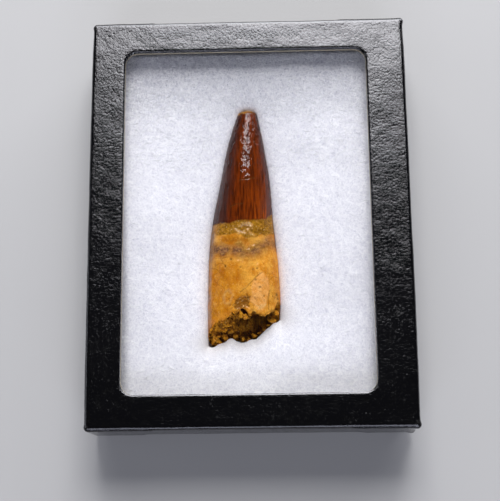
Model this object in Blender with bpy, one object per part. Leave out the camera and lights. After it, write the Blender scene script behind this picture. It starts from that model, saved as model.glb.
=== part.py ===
"""A fossil spinosaurus tooth on white fibre wadding, in a small display box with a glass top.

The box lies on its back with the glass up. The origin is at the middle of the back, +Z points out of the
glass, +Y runs along the tooth from its broken root to its tip, and +X is to the right of someone who looks
down on the glass with the tip away from them. Lengths are in metres.
"""

import math

import bmesh
import bpy
from mathutils import Vector, noise

MM = 0.001

# Clearance left between pieces that touch in the real box.
GAP = 0.3 * MM

# Outside of the closed box.
BOX_WIDTH = 82.55 * MM
BOX_LENGTH = 107.95 * MM
BOX_DEPTH = 19.05 * MM

# Lid: a skirt of board, a flat frame on top of it, and the round-cornered window in the frame.
LID_BOARD = 1.2 * MM
LID_PANEL = 1.5 * MM
LID_EDGE_RADIUS = 1.1 * MM
LID_CORNER_RADIUS = 1.7 * MM
LID_SKIRT_BOTTOM = 3.2 * MM
LID_SIDE_BOW = 0.25 * MM
WINDOW_WIDTH = 63.9 * MM
WINDOW_LENGTH = 90.9 * MM
WINDOW_CENTRE = (-0.7 * MM, 0.2 * MM)
WINDOW_CORNER_RADIUS = 3.3 * MM
WINDOW_EDGE_RADIUS = 0.45 * MM
SKIRT_EDGE_RADIUS = 0.35 * MM

# Pane of glass held under the frame.
GLASS_THICKNESS = 1.8 * MM
GLASS_PLAY = 0.6 * MM
GLASS_ARRIS = 0.25 * MM

# Tray: a floor and four low walls of thinner board.
TRAY_BOARD = 1.0 * MM
TRAY_CORNER_RADIUS = 1.2 * MM
TRAY_FOOT_RADIUS = 0.5 * MM
TRAY_RIM_RADIUS = 0.3 * MM

# Fibre pad: its swell under the glass, how far it sinks towards the walls, and how it hugs the tooth.
BATTING_WALL_DROP = 3.4 * MM
BATTING_SHOULDER = 9.0 * MM
BATTING_HUG = 0.9 * MM
BATTING_RISE = 6.5 * MM
BATTING_END_RISE = 1.8 * MM
BATTING_WAVE = 0.35 * MM

# Line that the pad follows below the broken end: X and Y where it starts to slant and where it stops, and
# the place along the root from which the pad's rows lean with it.
BATTING_END_LINE = ((-4.0 * MM, -32.3 * MM), (9.0 * MM, -26.2 * MM))
BATTING_LEAN_START = -12.0 * MM

# Tooth, station by station from tip to break: place along Y, middle in X, width, thickness, height of the
# crest that faces the glass above the back of the box.
TOOTH_STATIONS = (
    (31.5 * MM, -0.4 * MM, 4.7 * MM, 4.2 * MM, 12.5 * MM),
    (29.4 * MM, -0.7 * MM, 6.3 * MM, 5.3 * MM, 13.0 * MM),
    (20.9 * MM, -1.2 * MM, 9.8 * MM, 8.1 * MM, 14.0 * MM),
    (10.8 * MM, -1.4 * MM, 13.4 * MM, 10.6 * MM, 14.7 * MM),
    (0.9 * MM, -2.0 * MM, 16.0 * MM, 11.9 * MM, 14.8 * MM),
    (-5.7 * MM, -2.1 * MM, 17.7 * MM, 12.1 * MM, 14.75 * MM),
    (-18.5 * MM, -1.8 * MM, 19.0 * MM, 12.2 * MM, 14.8 * MM),
    (-33.0 * MM, -2.0 * MM, 18.6 * MM, 12.0 * MM, 14.6 * MM),
)
CROWN_BASE = -0.2 * MM
ENAMEL_LEDGE = 0.15 * MM
TIP_SLANT = 0.35 * MM
TIP_DOME = 0.35 * MM
ROOT_SQUARENESS = 2.3

# Broken end of the root: degrees round the root from +X towards the glass, and where the wall ends in Y.
BREAK_LINE = (
    (0, -24.4 * MM),
    (14, -22.8 * MM),
    (25, -21.2 * MM),
    (34, -23.3 * MM),
    (47, -24.5 * MM),
    (57, -25.5 * MM),
    (71, -24.7 * MM),
    (83, -24.1 * MM),
    (92, -23.3 * MM),
    (101, -24.6 * MM),
    (120, -26.3 * MM),
    (151, -27.8 * MM),
    (178, -30.4 * MM),
    (202, -31.6 * MM),
    (231, -31.1 * MM),
    (242, -29.8 * MM),
    (253, -28.8 * MM),
    (267, -30.6 * MM),
    (286, -29.7 * MM),
    (304, -27.6 * MM),
    (320, -26.1 * MM),
    (343, -25.4 * MM),
)
BREAK_MEAN = -27.0 * MM
BREAK_REACH = 0.42

# Steps of the broken face from the rim to the bottom of the pulp hollow: share of the radius, depth.
BREAK_STEPS = (
    (0.92, -0.35 * MM),
    (0.79, 0.5 * MM),
    (0.66, 0.1 * MM),
    (0.53, 1.5 * MM),
    (0.45, 4.2 * MM),
    (0.32, 6.2 * MM),
    (0.16, 7.0 * MM),
)

# Low lumps and dents of the front: place in X and Y, half-size in X and Y, height.
TOOTH_LUMPS = (
    (-1.2 * MM, -4.6 * MM, 2.6 * MM, 1.2 * MM, 0.40 * MM),
    (-5.6 * MM, -4.0 * MM, 2.4 * MM, 1.5 * MM, 0.25 * MM),
    (3.6 * MM, -5.6 * MM, 2.6 * MM, 1.4 * MM, 0.22 * MM),
    (0.4 * MM, -2.0 * MM, 3.4 * MM, 1.0 * MM, 0.20 * MM),
    (-1.9 * MM, -21.6 * MM, 1.8 * MM, 1.5 * MM, -0.45 * MM),
    (2.4 * MM, -17.0 * MM, 2.6 * MM, 5.0 * MM, 0.30 * MM),
    (-8.2 * MM, -27.0 * MM, 1.6 * MM, 1.8 * MM, 0.35 * MM),
)

# Mesh steps.
CORNER_STEPS = 4
SIDE_STEPS = 4
EDGE_STEPS = 3
TOOTH_SIDES = 40
TOOTH_ROWS = 42
BATTING_END_ROWS = 5
BATTING_TOOTH_ROWS = 22
BATTING_OUTER_COLUMNS = 5

# Shares of the tooth's half-width at which the pad has a line of points under it.
BATTING_UNDER_LINES = (-1.0, -0.93, -0.80, -0.58, -0.30, 0.0, 0.30, 0.58, 0.80, 0.93, 1.0)


def clear_scene():
    """Removes whatever the file holds."""
    for item in list(bpy.data.objects):
        bpy.data.objects.remove(item, do_unlink=True)


def make_material(name, colour, roughness, transmission=0.0, ior=1.5):
    """Returns a Principled material of one colour."""
    material = bpy.data.materials.new(name)
    material.use_nodes = True
    shader = material.node_tree.nodes["Principled BSDF"]
    shader.inputs["Base Color"].default_value = (*colour, 1.0)
    shader.inputs["Roughness"].default_value = roughness
    shader.inputs["Metallic"].default_value = 0.0
    shader.inputs["Transmission Weight"].default_value = transmission
    shader.inputs["IOR"].default_value = ior
    return material


def finish_object(name, mesh_data, material, smooth_angle):
    """Turns a bmesh into a named object with its material, faces pointing out."""
    bmesh.ops.recalc_face_normals(mesh_data, faces=mesh_data.faces)
    mesh = bpy.data.meshes.new(name)
    mesh_data.to_mesh(mesh)
    mesh_data.free()
    mesh.materials.append(material)
    mesh.shade_smooth()
    mesh.set_sharp_from_angle(angle=math.radians(smooth_angle))
    item = bpy.data.objects.new(name, mesh)
    bpy.context.scene.collection.objects.link(item)
    return item


def smooth_step(value):
    """Eases a share from 0 to 1."""
    share = min(1.0, max(0.0, value))
    return share * share * (3.0 - 2.0 * share)


def mix(start, end, share):
    """Returns the value a share of the way from start to end."""
    return start + (end - start) * share


def rounded_ring(width, length, radius, height, centre=(0.0, 0.0), bow=0.0):
    """Returns the points of a level rectangle with round corners, anticlockwise from the +X +Y corner.

    The long sides swell outwards by bow at their middle.
    """
    half_width, half_length = width / 2, length / 2
    points = []
    for corner in range(4):
        side_x = 1 if corner in (0, 3) else -1
        side_y = 1 if corner in (0, 1) else -1
        for step in range(CORNER_STEPS + 1):
            angle = math.radians(90 * (corner + step / CORNER_STEPS))
            x = side_x * (half_width - radius) + radius * math.cos(angle)
            y = side_y * (half_length - radius) + radius * math.sin(angle)
            points.append([x, y])
        start = points[-1]
        turned = math.radians(90 * (corner + 1))
        forward = (-math.sin(turned), math.cos(turned))
        run = 2 * ((half_length if corner in (1, 3) else half_width) - radius)
        outward = (math.cos(turned), math.sin(turned))
        swell = bow if corner in (1, 3) else 0.0
        for step in range(1, SIDE_STEPS):
            share = step / SIDE_STEPS
            out = swell * math.sin(math.pi * share)
            points.append([
                start[0] + forward[0] * run * share + outward[0] * out,
                start[1] + forward[1] * run * share + outward[1] * out,
            ])
    return [Vector((x + centre[0], y + centre[1], height)) for x, y in points]


def skin_rings(mesh_data, rings, closed):
    """Adds a band of quads between each ring and the next, and returns the rings of vertices."""
    loops = [[mesh_data.verts.new(point) for point in ring] for ring in rings]
    pairs = list(zip(loops, loops[1:]))
    if closed:
        pairs.append((loops[-1], loops[0]))
    for lower, upper in pairs:
        count = len(lower)
        for index in range(count):
            following = (index + 1) % count
            mesh_data.faces.new((lower[index], lower[following], upper[following], upper[index]))
    return loops


def quarter_turn(radius):
    """Yields pairs along a quarter round edge: distance in from the side, distance down from the top."""
    for step in range(EDGE_STEPS + 1):
        angle = math.radians(90 * step / EDGE_STEPS)
        yield radius * (1 - math.sin(angle)), radius * (1 - math.cos(angle))


def lid_inner_size():
    """Returns the width and length inside the lid's skirt."""
    return BOX_WIDTH - 2 * LID_BOARD, BOX_LENGTH - 2 * LID_BOARD


def glass_top():
    """Returns the height of the pane's upper face."""
    return BOX_DEPTH - LID_PANEL - GAP


def glass_bottom():
    """Returns the height of the pane's lower face."""
    return glass_top() - GLASS_THICKNESS


def tray_outer_size():
    """Returns the width and length outside the tray's walls."""
    width, length = lid_inner_size()
    return width - 2 * GAP, length - 2 * GAP


def make_lid(material):
    """Makes the frame and its skirt as one profile swept round the box."""
    rings = []

    # Window edge: up its face, round its lip and on to the flat frame.
    panel_bottom = BOX_DEPTH - LID_PANEL
    rings.append(rounded_ring(
        WINDOW_WIDTH, WINDOW_LENGTH, WINDOW_CORNER_RADIUS, panel_bottom, WINDOW_CENTRE))
    for inset, drop in reversed(list(quarter_turn(WINDOW_EDGE_RADIUS))):
        grow = 2 * inset
        rings.append(rounded_ring(
            WINDOW_WIDTH + grow,
            WINDOW_LENGTH + grow,
            WINDOW_CORNER_RADIUS + inset,
            BOX_DEPTH - drop,
            WINDOW_CENTRE,
        ))

    # Outer edge: round over the side and down the skirt.
    for inset, drop in quarter_turn(LID_EDGE_RADIUS):
        rings.append(rounded_ring(
            BOX_WIDTH - 2 * inset,
            BOX_LENGTH - 2 * inset,
            LID_CORNER_RADIUS - inset,
            BOX_DEPTH - drop,
            bow=LID_SIDE_BOW,
        ))
    for inset, drop in reversed(list(quarter_turn(SKIRT_EDGE_RADIUS))):
        rings.append(rounded_ring(
            BOX_WIDTH - 2 * inset,
            BOX_LENGTH - 2 * inset,
            LID_CORNER_RADIUS - inset,
            LID_SKIRT_BOTTOM + drop,
            bow=LID_SIDE_BOW,
        ))

    # Inside: up the skirt to the underside of the frame.
    width, length = lid_inner_size()
    inner_radius = LID_CORNER_RADIUS - LID_BOARD
    for height in (LID_SKIRT_BOTTOM, panel_bottom):
        rings.append(rounded_ring(width, length, inner_radius, height, bow=LID_SIDE_BOW))

    lid = bmesh.new()
    skin_rings(lid, rings, closed=True)
    return finish_object("lid", lid, material, 40)


def make_glass(material):
    """Makes the pane with its fine ground arrises."""
    width, length = lid_inner_size()
    pane = bmesh.new()
    bmesh.ops.create_cube(pane, size=1.0)
    size = (width - 2 * GLASS_PLAY, length - 2 * GLASS_PLAY, GLASS_THICKNESS)
    bmesh.ops.scale(pane, vec=size, verts=pane.verts)
    bmesh.ops.translate(pane, vec=(0, 0, (glass_top() + glass_bottom()) / 2), verts=pane.verts)
    item = finish_object("glass", pane, material, 30)
    arris = item.modifiers.new("arris", "BEVEL")
    arris.width = GLASS_ARRIS
    arris.segments = 1
    arris.limit_method = "ANGLE"
    return item


def make_tray(material):
    """Makes the floor and walls as rings from the middle of the back, over the rim, to the floor inside."""
    width, length = tray_outer_size()
    rim = glass_bottom() - GAP
    rings = []
    for inset, rise in quarter_turn(TRAY_FOOT_RADIUS):
        rings.append(rounded_ring(
            width - 2 * inset, length - 2 * inset, TRAY_CORNER_RADIUS - inset, rise, bow=LID_SIDE_BOW))
    for inset, drop in reversed(list(quarter_turn(TRAY_RIM_RADIUS))):
        rings.append(rounded_ring(
            width - 2 * inset, length - 2 * inset, TRAY_CORNER_RADIUS - inset, rim - drop,
            bow=LID_SIDE_BOW))
    for height in (rim, TRAY_BOARD):
        rings.append(rounded_ring(
            width - 2 * TRAY_BOARD, length - 2 * TRAY_BOARD, TRAY_CORNER_RADIUS - TRAY_BOARD, height,
            bow=LID_SIDE_BOW))

    tray = bmesh.new()
    loops = skin_rings(tray, rings, closed=False)
    tray.faces.new(loops[0])
    tray.faces.new(loops[-1])
    return finish_object("tray", tray, material, 40)


def tooth_section(along):
    """Returns the tooth's middle in X, half-width, half-thickness and middle height at a place along Y."""
    stations = TOOTH_STATIONS
    if along >= stations[0][0]:
        values = stations[0][1:]
    elif along <= stations[-1][0]:
        values = stations[-1][1:]
    else:
        last = len(stations) - 1
        index = next(i for i in range(last) if stations[i + 1][0] <= along)
        values = [station_curve(index, column, along) for column in range(1, 5)]
    centre, width, thickness, crest = values
    return centre, width / 2, thickness / 2, crest - thickness / 2


def station_slope(index, column):
    """Returns how fast one measure changes along the tooth at a station."""
    before = TOOTH_STATIONS[max(0, index - 1)]
    after = TOOTH_STATIONS[min(len(TOOTH_STATIONS) - 1, index + 1)]
    return (after[column] - before[column]) / (after[0] - before[0])


def station_curve(index, column, along):
    """Returns one measure on a smooth curve between a station and the next."""
    start, end = TOOTH_STATIONS[index], TOOTH_STATIONS[index + 1]
    run = end[0] - start[0]
    share = (along - start[0]) / run
    square, cube = share * share, share * share * share
    return (
        (2 * cube - 3 * square + 1) * start[column]
        + (cube - 2 * square + share) * run * station_slope(index, column)
        + (3 * square - 2 * cube) * end[column]
        + (cube - square) * run * station_slope(index + 1, column)
    )


def break_end(degrees):
    """Returns where the root's wall ends in Y at an angle round it."""
    degrees %= 360
    points = [*BREAK_LINE, (BREAK_LINE[0][0] + 360, BREAK_LINE[0][1])]
    for (start, low), (end, high) in zip(points, points[1:]):
        if start <= degrees <= end:
            return mix(low, high, (degrees - start) / (end - start))
    return BREAK_MEAN


def tooth_relief(x, along, facing):
    """Returns how far the surface stands off the plain form; facing is 1 on the front and 0 behind."""
    height = ENAMEL_LEDGE * smooth_step((along - CROWN_BASE) / (0.5 * MM))
    for lump_x, lump_y, half_x, half_y, rise in TOOTH_LUMPS:
        reach = ((x - lump_x) / half_x) ** 2 + ((along - lump_y) / half_y) ** 2
        height += rise * math.exp(-reach) * facing
    root_share = smooth_step((CROWN_BASE - along) / (6 * MM))
    coarse = noise.noise(Vector((x, along, facing * MM)) / (3.2 * MM))
    return height + 0.16 * MM * coarse * root_share


def tooth_point(degrees, along):
    """Returns the point of the tooth's side at an angle round it and a place along Y."""
    centre, half_width, half_thickness, middle = tooth_section(along)
    square = mix(2.0, ROOT_SQUARENESS, smooth_step((CROWN_BASE - along) / (12 * MM)))
    cosine, sine = math.cos(math.radians(degrees)), math.sin(math.radians(degrees))
    across = math.copysign(abs(cosine) ** (2 / square), cosine)
    up = math.copysign(abs(sine) ** (2 / square), sine)
    x = centre + half_width * across
    relief = tooth_relief(x, along, max(0.0, up))
    return Vector((x + relief * across, along, middle + half_thickness * up + relief * up))


def tooth_row(share):
    """Returns one row of points round the tooth; rows near the root lean with the broken edge."""
    start = TOOTH_STATIONS[0][0]
    row = []
    for side in range(TOOTH_SIDES):
        degrees = 360 * side / TOOTH_SIDES
        lean = smooth_step((share - 1 + BREAK_REACH) / BREAK_REACH)
        along = mix(start, BREAK_MEAN, share) + (break_end(degrees) - BREAK_MEAN) * lean
        along += TIP_SLANT * math.cos(math.radians(degrees)) * smooth_step(1 - share / 0.08)
        row.append(tooth_point(degrees, along))
    return row


def break_row(rim, share, depth, step):
    """Returns a row of the broken face, drawn in from the rim and sunk by depth with a ragged edge."""
    middle = sum(rim, Vector()) / len(rim)
    row = []
    for side, point in enumerate(rim):
        inner = middle + (point - middle) * share
        inner.y = mix(point.y, BREAK_MEAN, (1 - share) * 0.75) + depth
        ragged = noise.noise(Vector((side * 0.9, step * 1.7, 3.1)))
        inner.y += 0.7 * MM * ragged * share
        row.append(inner)
    return row


def make_tooth(material):
    """Makes crown, root, worn tip and broken end with its open pulp hollow as one closed body."""
    rows = [tooth_row(index / TOOTH_ROWS) for index in range(TOOTH_ROWS + 1)]
    tip, rim = rows[0], rows[-1]
    tip_middle = sum(tip, Vector()) / len(tip)
    cap = [point.lerp(tip_middle, 0.35) + Vector((0, TIP_DOME * 0.8, 0)) for point in tip]
    break_rows = [
        break_row(rim, share, depth, step) for step, (share, depth) in enumerate(BREAK_STEPS)
    ]

    tooth = bmesh.new()
    loops = skin_rings(tooth, [cap, *rows, *break_rows], closed=False)
    ends = (
        (loops[0], tip_middle + Vector((0, TIP_DOME, 0))),
        (loops[-1], sum(break_rows[-1], Vector()) / TOOTH_SIDES + Vector((0, 0.2 * MM, 0))),
    )
    for loop, point in ends:
        pole = tooth.verts.new(point)
        for index in range(TOOTH_SIDES):
            tooth.faces.new((loop[index], loop[(index + 1) % TOOTH_SIDES], pole))
    return finish_object("tooth", tooth, material, 35)


def batting_size():
    """Returns the width and length of the pad."""
    width, length = tray_outer_size()
    inset = 2 * (TRAY_BOARD + GAP)
    return width - inset, length - inset


def pad_level(x, y):
    """Returns the pad's height away from the tooth: nearly at the glass, sinking towards the walls."""
    width, length = batting_size()
    highest = glass_bottom() - GAP
    to_wall = min(width / 2 - abs(x), length / 2 - abs(y))
    sink = BATTING_WALL_DROP * (1 - smooth_step(to_wall / BATTING_SHOULDER))
    wave = BATTING_WAVE * (1 + noise.noise(Vector((x, y, 0)) / (11 * MM)))
    return highest - sink - wave


def tooth_end(x):
    """Returns the Y of the lowest broken edge at a place across the tooth, smoothed to a slanted line."""
    (left, low), (right, high) = BATTING_END_LINE
    return mix(low, high, smooth_step((x - left) / (right - left)))


def pad_height(x, y):
    """Returns the pad's height, hollowed where the tooth has sunk into it."""
    level = pad_level(x, y)
    tip = TOOTH_STATIONS[0][0]
    end = tooth_end(x)
    centre, half_width, half_thickness, middle = tooth_section(min(tip, max(end, y)))
    beyond = max(0.0, y - (tip + BATTING_HUG), (end - BATTING_HUG) - y) / BATTING_END_RISE
    share = abs(x - centre) / (half_width + BATTING_HUG)
    if share < 1:
        round_off = (1 - share ** ROOT_SQUARENESS) ** (1 / ROOT_SQUARENESS)
        hollow = middle - (half_thickness + BATTING_HUG) * round_off
        away = beyond
    else:
        hollow = middle
        away = math.hypot((share - 1) * (half_width + BATTING_HUG) / BATTING_RISE, beyond)
    floor = TRAY_BOARD + 3 * GAP
    return mix(max(hollow, floor), level, smooth_step(away))


def pad_columns(along):
    """Returns the places across the pad of its lines of points, gathered under the tooth."""
    width, _ = batting_size()
    tip, end = TOOTH_STATIONS[0][0], TOOTH_STATIONS[-1][0]
    centre, half_width, _, _ = tooth_section(min(tip, max(end, along)))
    reach = half_width + BATTING_HUG
    under = [centre + reach * share for share in BATTING_UNDER_LINES]
    count = BATTING_OUTER_COLUMNS
    shares = [(step / count) ** 1.5 for step in range(1, count + 1)]
    left = [mix(under[0], -width / 2, share) for share in reversed(shares)]
    right = [mix(under[-1], width / 2, share) for share in shares]
    return left + under + right


def pad_rows():
    """Returns the places along the pad of its rows, closer together at both ends of the tooth."""
    _, length = batting_size()
    low = BATTING_END_LINE[0][1] - BATTING_HUG
    high = TOOTH_STATIONS[0][0] + BATTING_HUG
    rise = [BATTING_END_RISE * share for share in (0.33, 0.67, 1.0)]
    ends = [(step / BATTING_END_ROWS) ** 1.4 for step in range(1, BATTING_END_ROWS + 1)]
    below = [mix(low - rise[-1], -length / 2, share) for share in reversed(ends)]
    beside = [mix(low, high, step / BATTING_TOOTH_ROWS) for step in range(BATTING_TOOTH_ROWS + 1)]
    above = [mix(high + rise[-1], length / 2, share) for share in ends]
    return below + [low - step for step in reversed(rise)] + beside + [high + step for step in rise] + above


def leaned(x, along):
    """Returns the Y of a row's point at a place across the pad: rows near the break slant with it."""
    _, length = batting_size()
    lowest = BATTING_END_LINE[0][1]
    if along > lowest:
        weight = smooth_step((BATTING_LEAN_START - along) / (BATTING_LEAN_START - lowest))
    else:
        weight = smooth_step((along + length / 2) / (lowest + length / 2))
    return along + (tooth_end(x) - lowest) * weight


def make_batting(material):
    """Makes the pad: a grid whose top is hollowed under the tooth, on a flat bottom."""
    bottom = TRAY_BOARD + GAP
    pad = bmesh.new()
    grid = []
    for along in pad_rows():
        places = [(x, leaned(x, along)) for x in pad_columns(along)]
        grid.append([pad.verts.new((x, y, pad_height(x, y))) for x, y in places])
    for lower, upper in zip(grid, grid[1:]):
        for index in range(len(lower) - 1):
            pad.faces.new((lower[index], lower[index + 1], upper[index + 1], upper[index]))

    right_side = [row[-1] for row in grid[1:-1]]
    left_side = [row[0] for row in grid[-2:0:-1]]
    edge = grid[0] + right_side + grid[-1][::-1] + left_side
    foot = [pad.verts.new((vertex.co.x, vertex.co.y, bottom)) for vertex in edge]
    for index in range(len(edge)):
        following = (index + 1) % len(edge)
        pad.faces.new((edge[index], foot[index], foot[following], edge[following]))
    pad.faces.new(foot)
    return finish_object("batting", pad, material, 60)


def build():
    """Builds every piece of the box and its tooth."""
    clear_scene()
    lid_board = make_material("lid_board", (0.012, 0.012, 0.013), 0.45)
    tray_board = make_material("tray_board", (0.014, 0.014, 0.015), 0.5)
    pane = make_material("pane", (1.0, 1.0, 1.0), 0.02, transmission=1.0, ior=1.52)
    fibre = make_material("fibre", (0.86, 0.86, 0.89), 0.9)
    fossil = make_material("fossil", (0.42, 0.17, 0.04), 0.35)
    make_tray(tray_board)
    make_batting(fibre)
    make_tooth(fossil)
    make_glass(pane)
    make_lid(lid_board)


build()
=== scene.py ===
"""Looks of a fossil spinosaurus tooth in a small display box with a glass top.

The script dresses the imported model: a lid and a tray of board under embossed black paper, a clear pane, a pad
of loose white fibre, and the tooth with its glossy crown, stained root and crumbling break. Shapes are worked
out in millimetres and turned into metres when a piece is made. Finishes, lights and the camera are in metres.
The box lies on its back, +Z points out of the glass and +Y runs along the tooth to its tip.
"""

import functools
import itertools
import logging
import math
from collections.abc import Sequence
from dataclasses import dataclass, field, replace
from enum import Enum

import bmesh
import bpy
import numpy as np
from mathutils import Matrix, Vector


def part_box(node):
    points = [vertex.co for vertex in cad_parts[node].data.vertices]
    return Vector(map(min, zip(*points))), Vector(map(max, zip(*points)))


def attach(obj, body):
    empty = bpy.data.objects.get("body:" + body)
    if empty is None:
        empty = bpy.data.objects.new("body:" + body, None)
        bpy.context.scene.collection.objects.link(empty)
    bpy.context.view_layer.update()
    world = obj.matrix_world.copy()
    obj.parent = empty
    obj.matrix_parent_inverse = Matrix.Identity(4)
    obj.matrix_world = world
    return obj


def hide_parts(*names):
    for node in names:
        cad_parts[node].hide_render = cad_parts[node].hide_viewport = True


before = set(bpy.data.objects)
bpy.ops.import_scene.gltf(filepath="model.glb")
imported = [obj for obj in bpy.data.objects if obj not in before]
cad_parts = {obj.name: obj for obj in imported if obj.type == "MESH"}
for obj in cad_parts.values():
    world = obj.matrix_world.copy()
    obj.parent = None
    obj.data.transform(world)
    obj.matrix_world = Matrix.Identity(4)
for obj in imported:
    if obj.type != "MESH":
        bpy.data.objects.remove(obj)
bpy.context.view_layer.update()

MM = 0.001

Array = np.ndarray
Colour = tuple[float, float, float]
Place = tuple[float, float]
Point = tuple[float, float, float]
Faces = list[list[int]]
Socket = bpy.types.NodeSocket
Value = float | tuple | Socket

# Whole numbers that scramble a lattice cell's place into a random number.
AXIS_FACTORS = (73856093, 19349663, 83492791)
SEED_FACTOR, SEED_START, MIX_FACTOR = 2654435761, 97, 2246822519
LAST_NUMBER = 0xFFFFFFFF

log = logging.getLogger("display_box")


class Slot(Enum):
    """Names for the kinds of finish."""

    LID = "lid_board"
    TRAY = "tray_board"
    PANE = "pane"
    FIBRE = "fibre"
    FOSSIL = "fossil"


def paint(red: int, green: int, blue: int) -> Colour:
    """Returns the linear colour of a paint chip, given as display values from 0 to 255."""
    shares = (value / 255 for value in (red, green, blue))
    return tuple(share / 12.92 if share <= 0.04045 else ((share + 0.055) / 1.055) ** 2.4 for share in shares)


def packed_box(node: str) -> tuple[Array, Array]:
    """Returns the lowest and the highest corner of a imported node, in millimetres."""
    low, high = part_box(node)
    return np.array(low) / MM, np.array(high) / MM


def smooth_step(value: Array) -> Array:
    """Eases a share from 0 to 1."""
    share = np.clip(value, 0.0, 1.0)
    return share * share * (3.0 - 2.0 * share)


def ramp(value: Array, start: float, end: float) -> Array:
    """Eases from 0 where a value is at start to 1 where it is at end."""
    return smooth_step((value - start) / (end - start))


def mix(start: Array, end: Array, share: Array) -> Array:
    """Returns the value a share of the way from start to end."""
    return start + (end - start) * share


def bell(distance: Array) -> Array:
    """Returns 1 at no distance, falling away smoothly to 0 by about 2."""
    return np.exp(-distance * distance)


def oval(first: Array, second: Array, middle: Place, half: Place) -> Array:
    """Returns 0 in the middle of an oval and 1 on its border."""
    return np.hypot((first - middle[0]) / half[0], (second - middle[1]) / half[1])


def unit(ways: Array) -> Array:
    """Returns directions with a length of 1."""
    return ways / (np.linalg.norm(ways, axis=-1, keepdims=True) + 1e-12)


def across_path(path: Array) -> tuple[Array, Array]:
    """Returns the two directions across a path at each of its points.

    Args:
        path: Points in order, along the last axis but one.

    Returns:
        The level direction and the one that rises.
    """
    ahead = unit(np.gradient(path, axis=-2))
    side = unit(np.cross(ahead, (0.0, 0.0, 1.0)))
    return side, np.cross(side, ahead)


def cell_value(cells: Array, seed: int) -> Array:
    """Returns a fixed number from 0 to 1 for each cell of a lattice.

    Args:
        cells: Whole numbers, three to a cell, along the last axis.
        seed: Picks one of many independent lattices.

    Returns:
        One number for each cell, the same on every run.
    """
    x, y, z = (cells[..., axis].astype(np.uint64) * np.uint64(AXIS_FACTORS[axis]) for axis in range(3))
    mixed = (x ^ y ^ z ^ np.uint64(seed * SEED_FACTOR + SEED_START)) & np.uint64(LAST_NUMBER)
    for _ in range(2):
        mixed = (mixed ^ (mixed >> np.uint64(15))) * np.uint64(MIX_FACTOR)
        mixed &= np.uint64(LAST_NUMBER)
    mixed ^= mixed >> np.uint64(13)
    return mixed.astype(float) / LAST_NUMBER


def drift(points: Array, size: float | Sequence[float], seed: int) -> Array:
    """Returns smooth random values in space.

    Args:
        points: Places, three numbers each, along the last axis.
        size: Distance over which the value changes, one number or one for each axis.
        seed: Picks one of many independent fields.

    Returns:
        Values from -1 to 1.
    """
    scaled = points / np.asarray(size, float)
    base = np.floor(scaled).astype(np.int64)
    share = scaled - base
    weight = share ** 3 * (share * (share * 6 - 15) + 10)
    total = np.zeros(points.shape[:-1])
    for corner in itertools.product((0, 1), repeat=3):
        offset = np.array(corner)
        factor = np.prod(np.where(offset == 1, weight, 1 - weight), axis=-1)
        total += factor * cell_value(base + offset, seed)
    return total * 2 - 1


def pebbles(points: Array, size: float, seed: int) -> tuple[Array, Array]:
    """Returns the distance to the nearest of many scattered seeds, and that seed's own random number.

    Args:
        points: Places, three numbers each, along the last axis.
        size: Usual distance between the seeds.
        seed: Picks one of many independent scatters.

    Returns:
        The distance in units of size, and a number from 0 to 1 that is the same all over one pebble.
    """
    scaled = points / size
    base = np.floor(scaled).astype(np.int64)
    nearest = np.full(points.shape[:-1], 9.0)
    tone = np.zeros(points.shape[:-1])
    for corner in itertools.product((-1, 0, 1), repeat=3):
        cells = base + np.array(corner)
        jitter = np.stack([cell_value(cells, seed * 7 + axis) for axis in range(3)], axis=-1)
        distance = np.linalg.norm(cells + jitter - scaled, axis=-1)
        closer = distance < nearest
        nearest = np.where(closer, distance, nearest)
        tone = np.where(closer, cell_value(cells, seed * 7 + 5), tone)
    return nearest, tone


def line_distance(x: Array, y: Array, points: Sequence[Place]) -> Array:
    """Returns the distance from each place to a line.

    Args:
        x: Places across.
        y: Places along.
        points: The line's corners in order.

    Returns:
        One distance for each place.
    """
    nearest = np.full(np.shape(x), np.inf)
    for (start_x, start_y), (end_x, end_y) in zip(points, points[1:]):
        run_x, run_y = end_x - start_x, end_y - start_y
        share = ((x - start_x) * run_x + (y - start_y) * run_y) / (run_x ** 2 + run_y ** 2)
        share = np.clip(share, 0, 1)
        nearest = np.minimum(nearest, np.hypot(x - start_x - share * run_x, y - start_y - share * run_y))
    return nearest


def line_bells(x: Array, y: Array, lines: Sequence[Sequence[Place]], width: float,
               wobble: Array | float = 0.0) -> Array:
    """Returns 1 on each of several lines, falling away beside it.

    Args:
        x: Places across.
        y: Places along.
        lines: The lines, each a list of its corners.
        width: Distance over which the value falls.
        wobble: Distance by which the lines stray.

    Returns:
        One field of values for each line.
    """
    return np.array([bell((line_distance(x, y, line) + wobble) / width) for line in lines])


def band_faces(rows: int, columns: int, wrap_rows: bool = False, wrap_columns: bool = True) -> Faces:
    """Returns the four-sided faces between the rows of a grid of points.

    Args:
        rows: Number of rows.
        columns: Number of points in a row.
        wrap_rows: Whether the last row joins the first.
        wrap_columns: Whether each row closes on itself.

    Returns:
        The point numbers of each face, with point 0 first in the first row.
    """
    row = np.arange(rows if wrap_rows else rows - 1)[:, None]
    column = np.arange(columns if wrap_columns else columns - 1)[None, :]
    following, above = (column + 1) % columns, (row + 1) % rows
    corners = (
        row * columns + column,
        row * columns + following,
        above * columns + following,
        above * columns + column,
    )
    return np.stack(np.broadcast_arrays(*corners), axis=-1).reshape(-1, 4).tolist()


def fan_faces(ring: Sequence[int], pole: int) -> Faces:
    """Returns the triangles between a closed ring of points and one point in its middle."""
    return [[ring[index], ring[(index + 1) % len(ring)], pole] for index in range(len(ring))]


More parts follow.
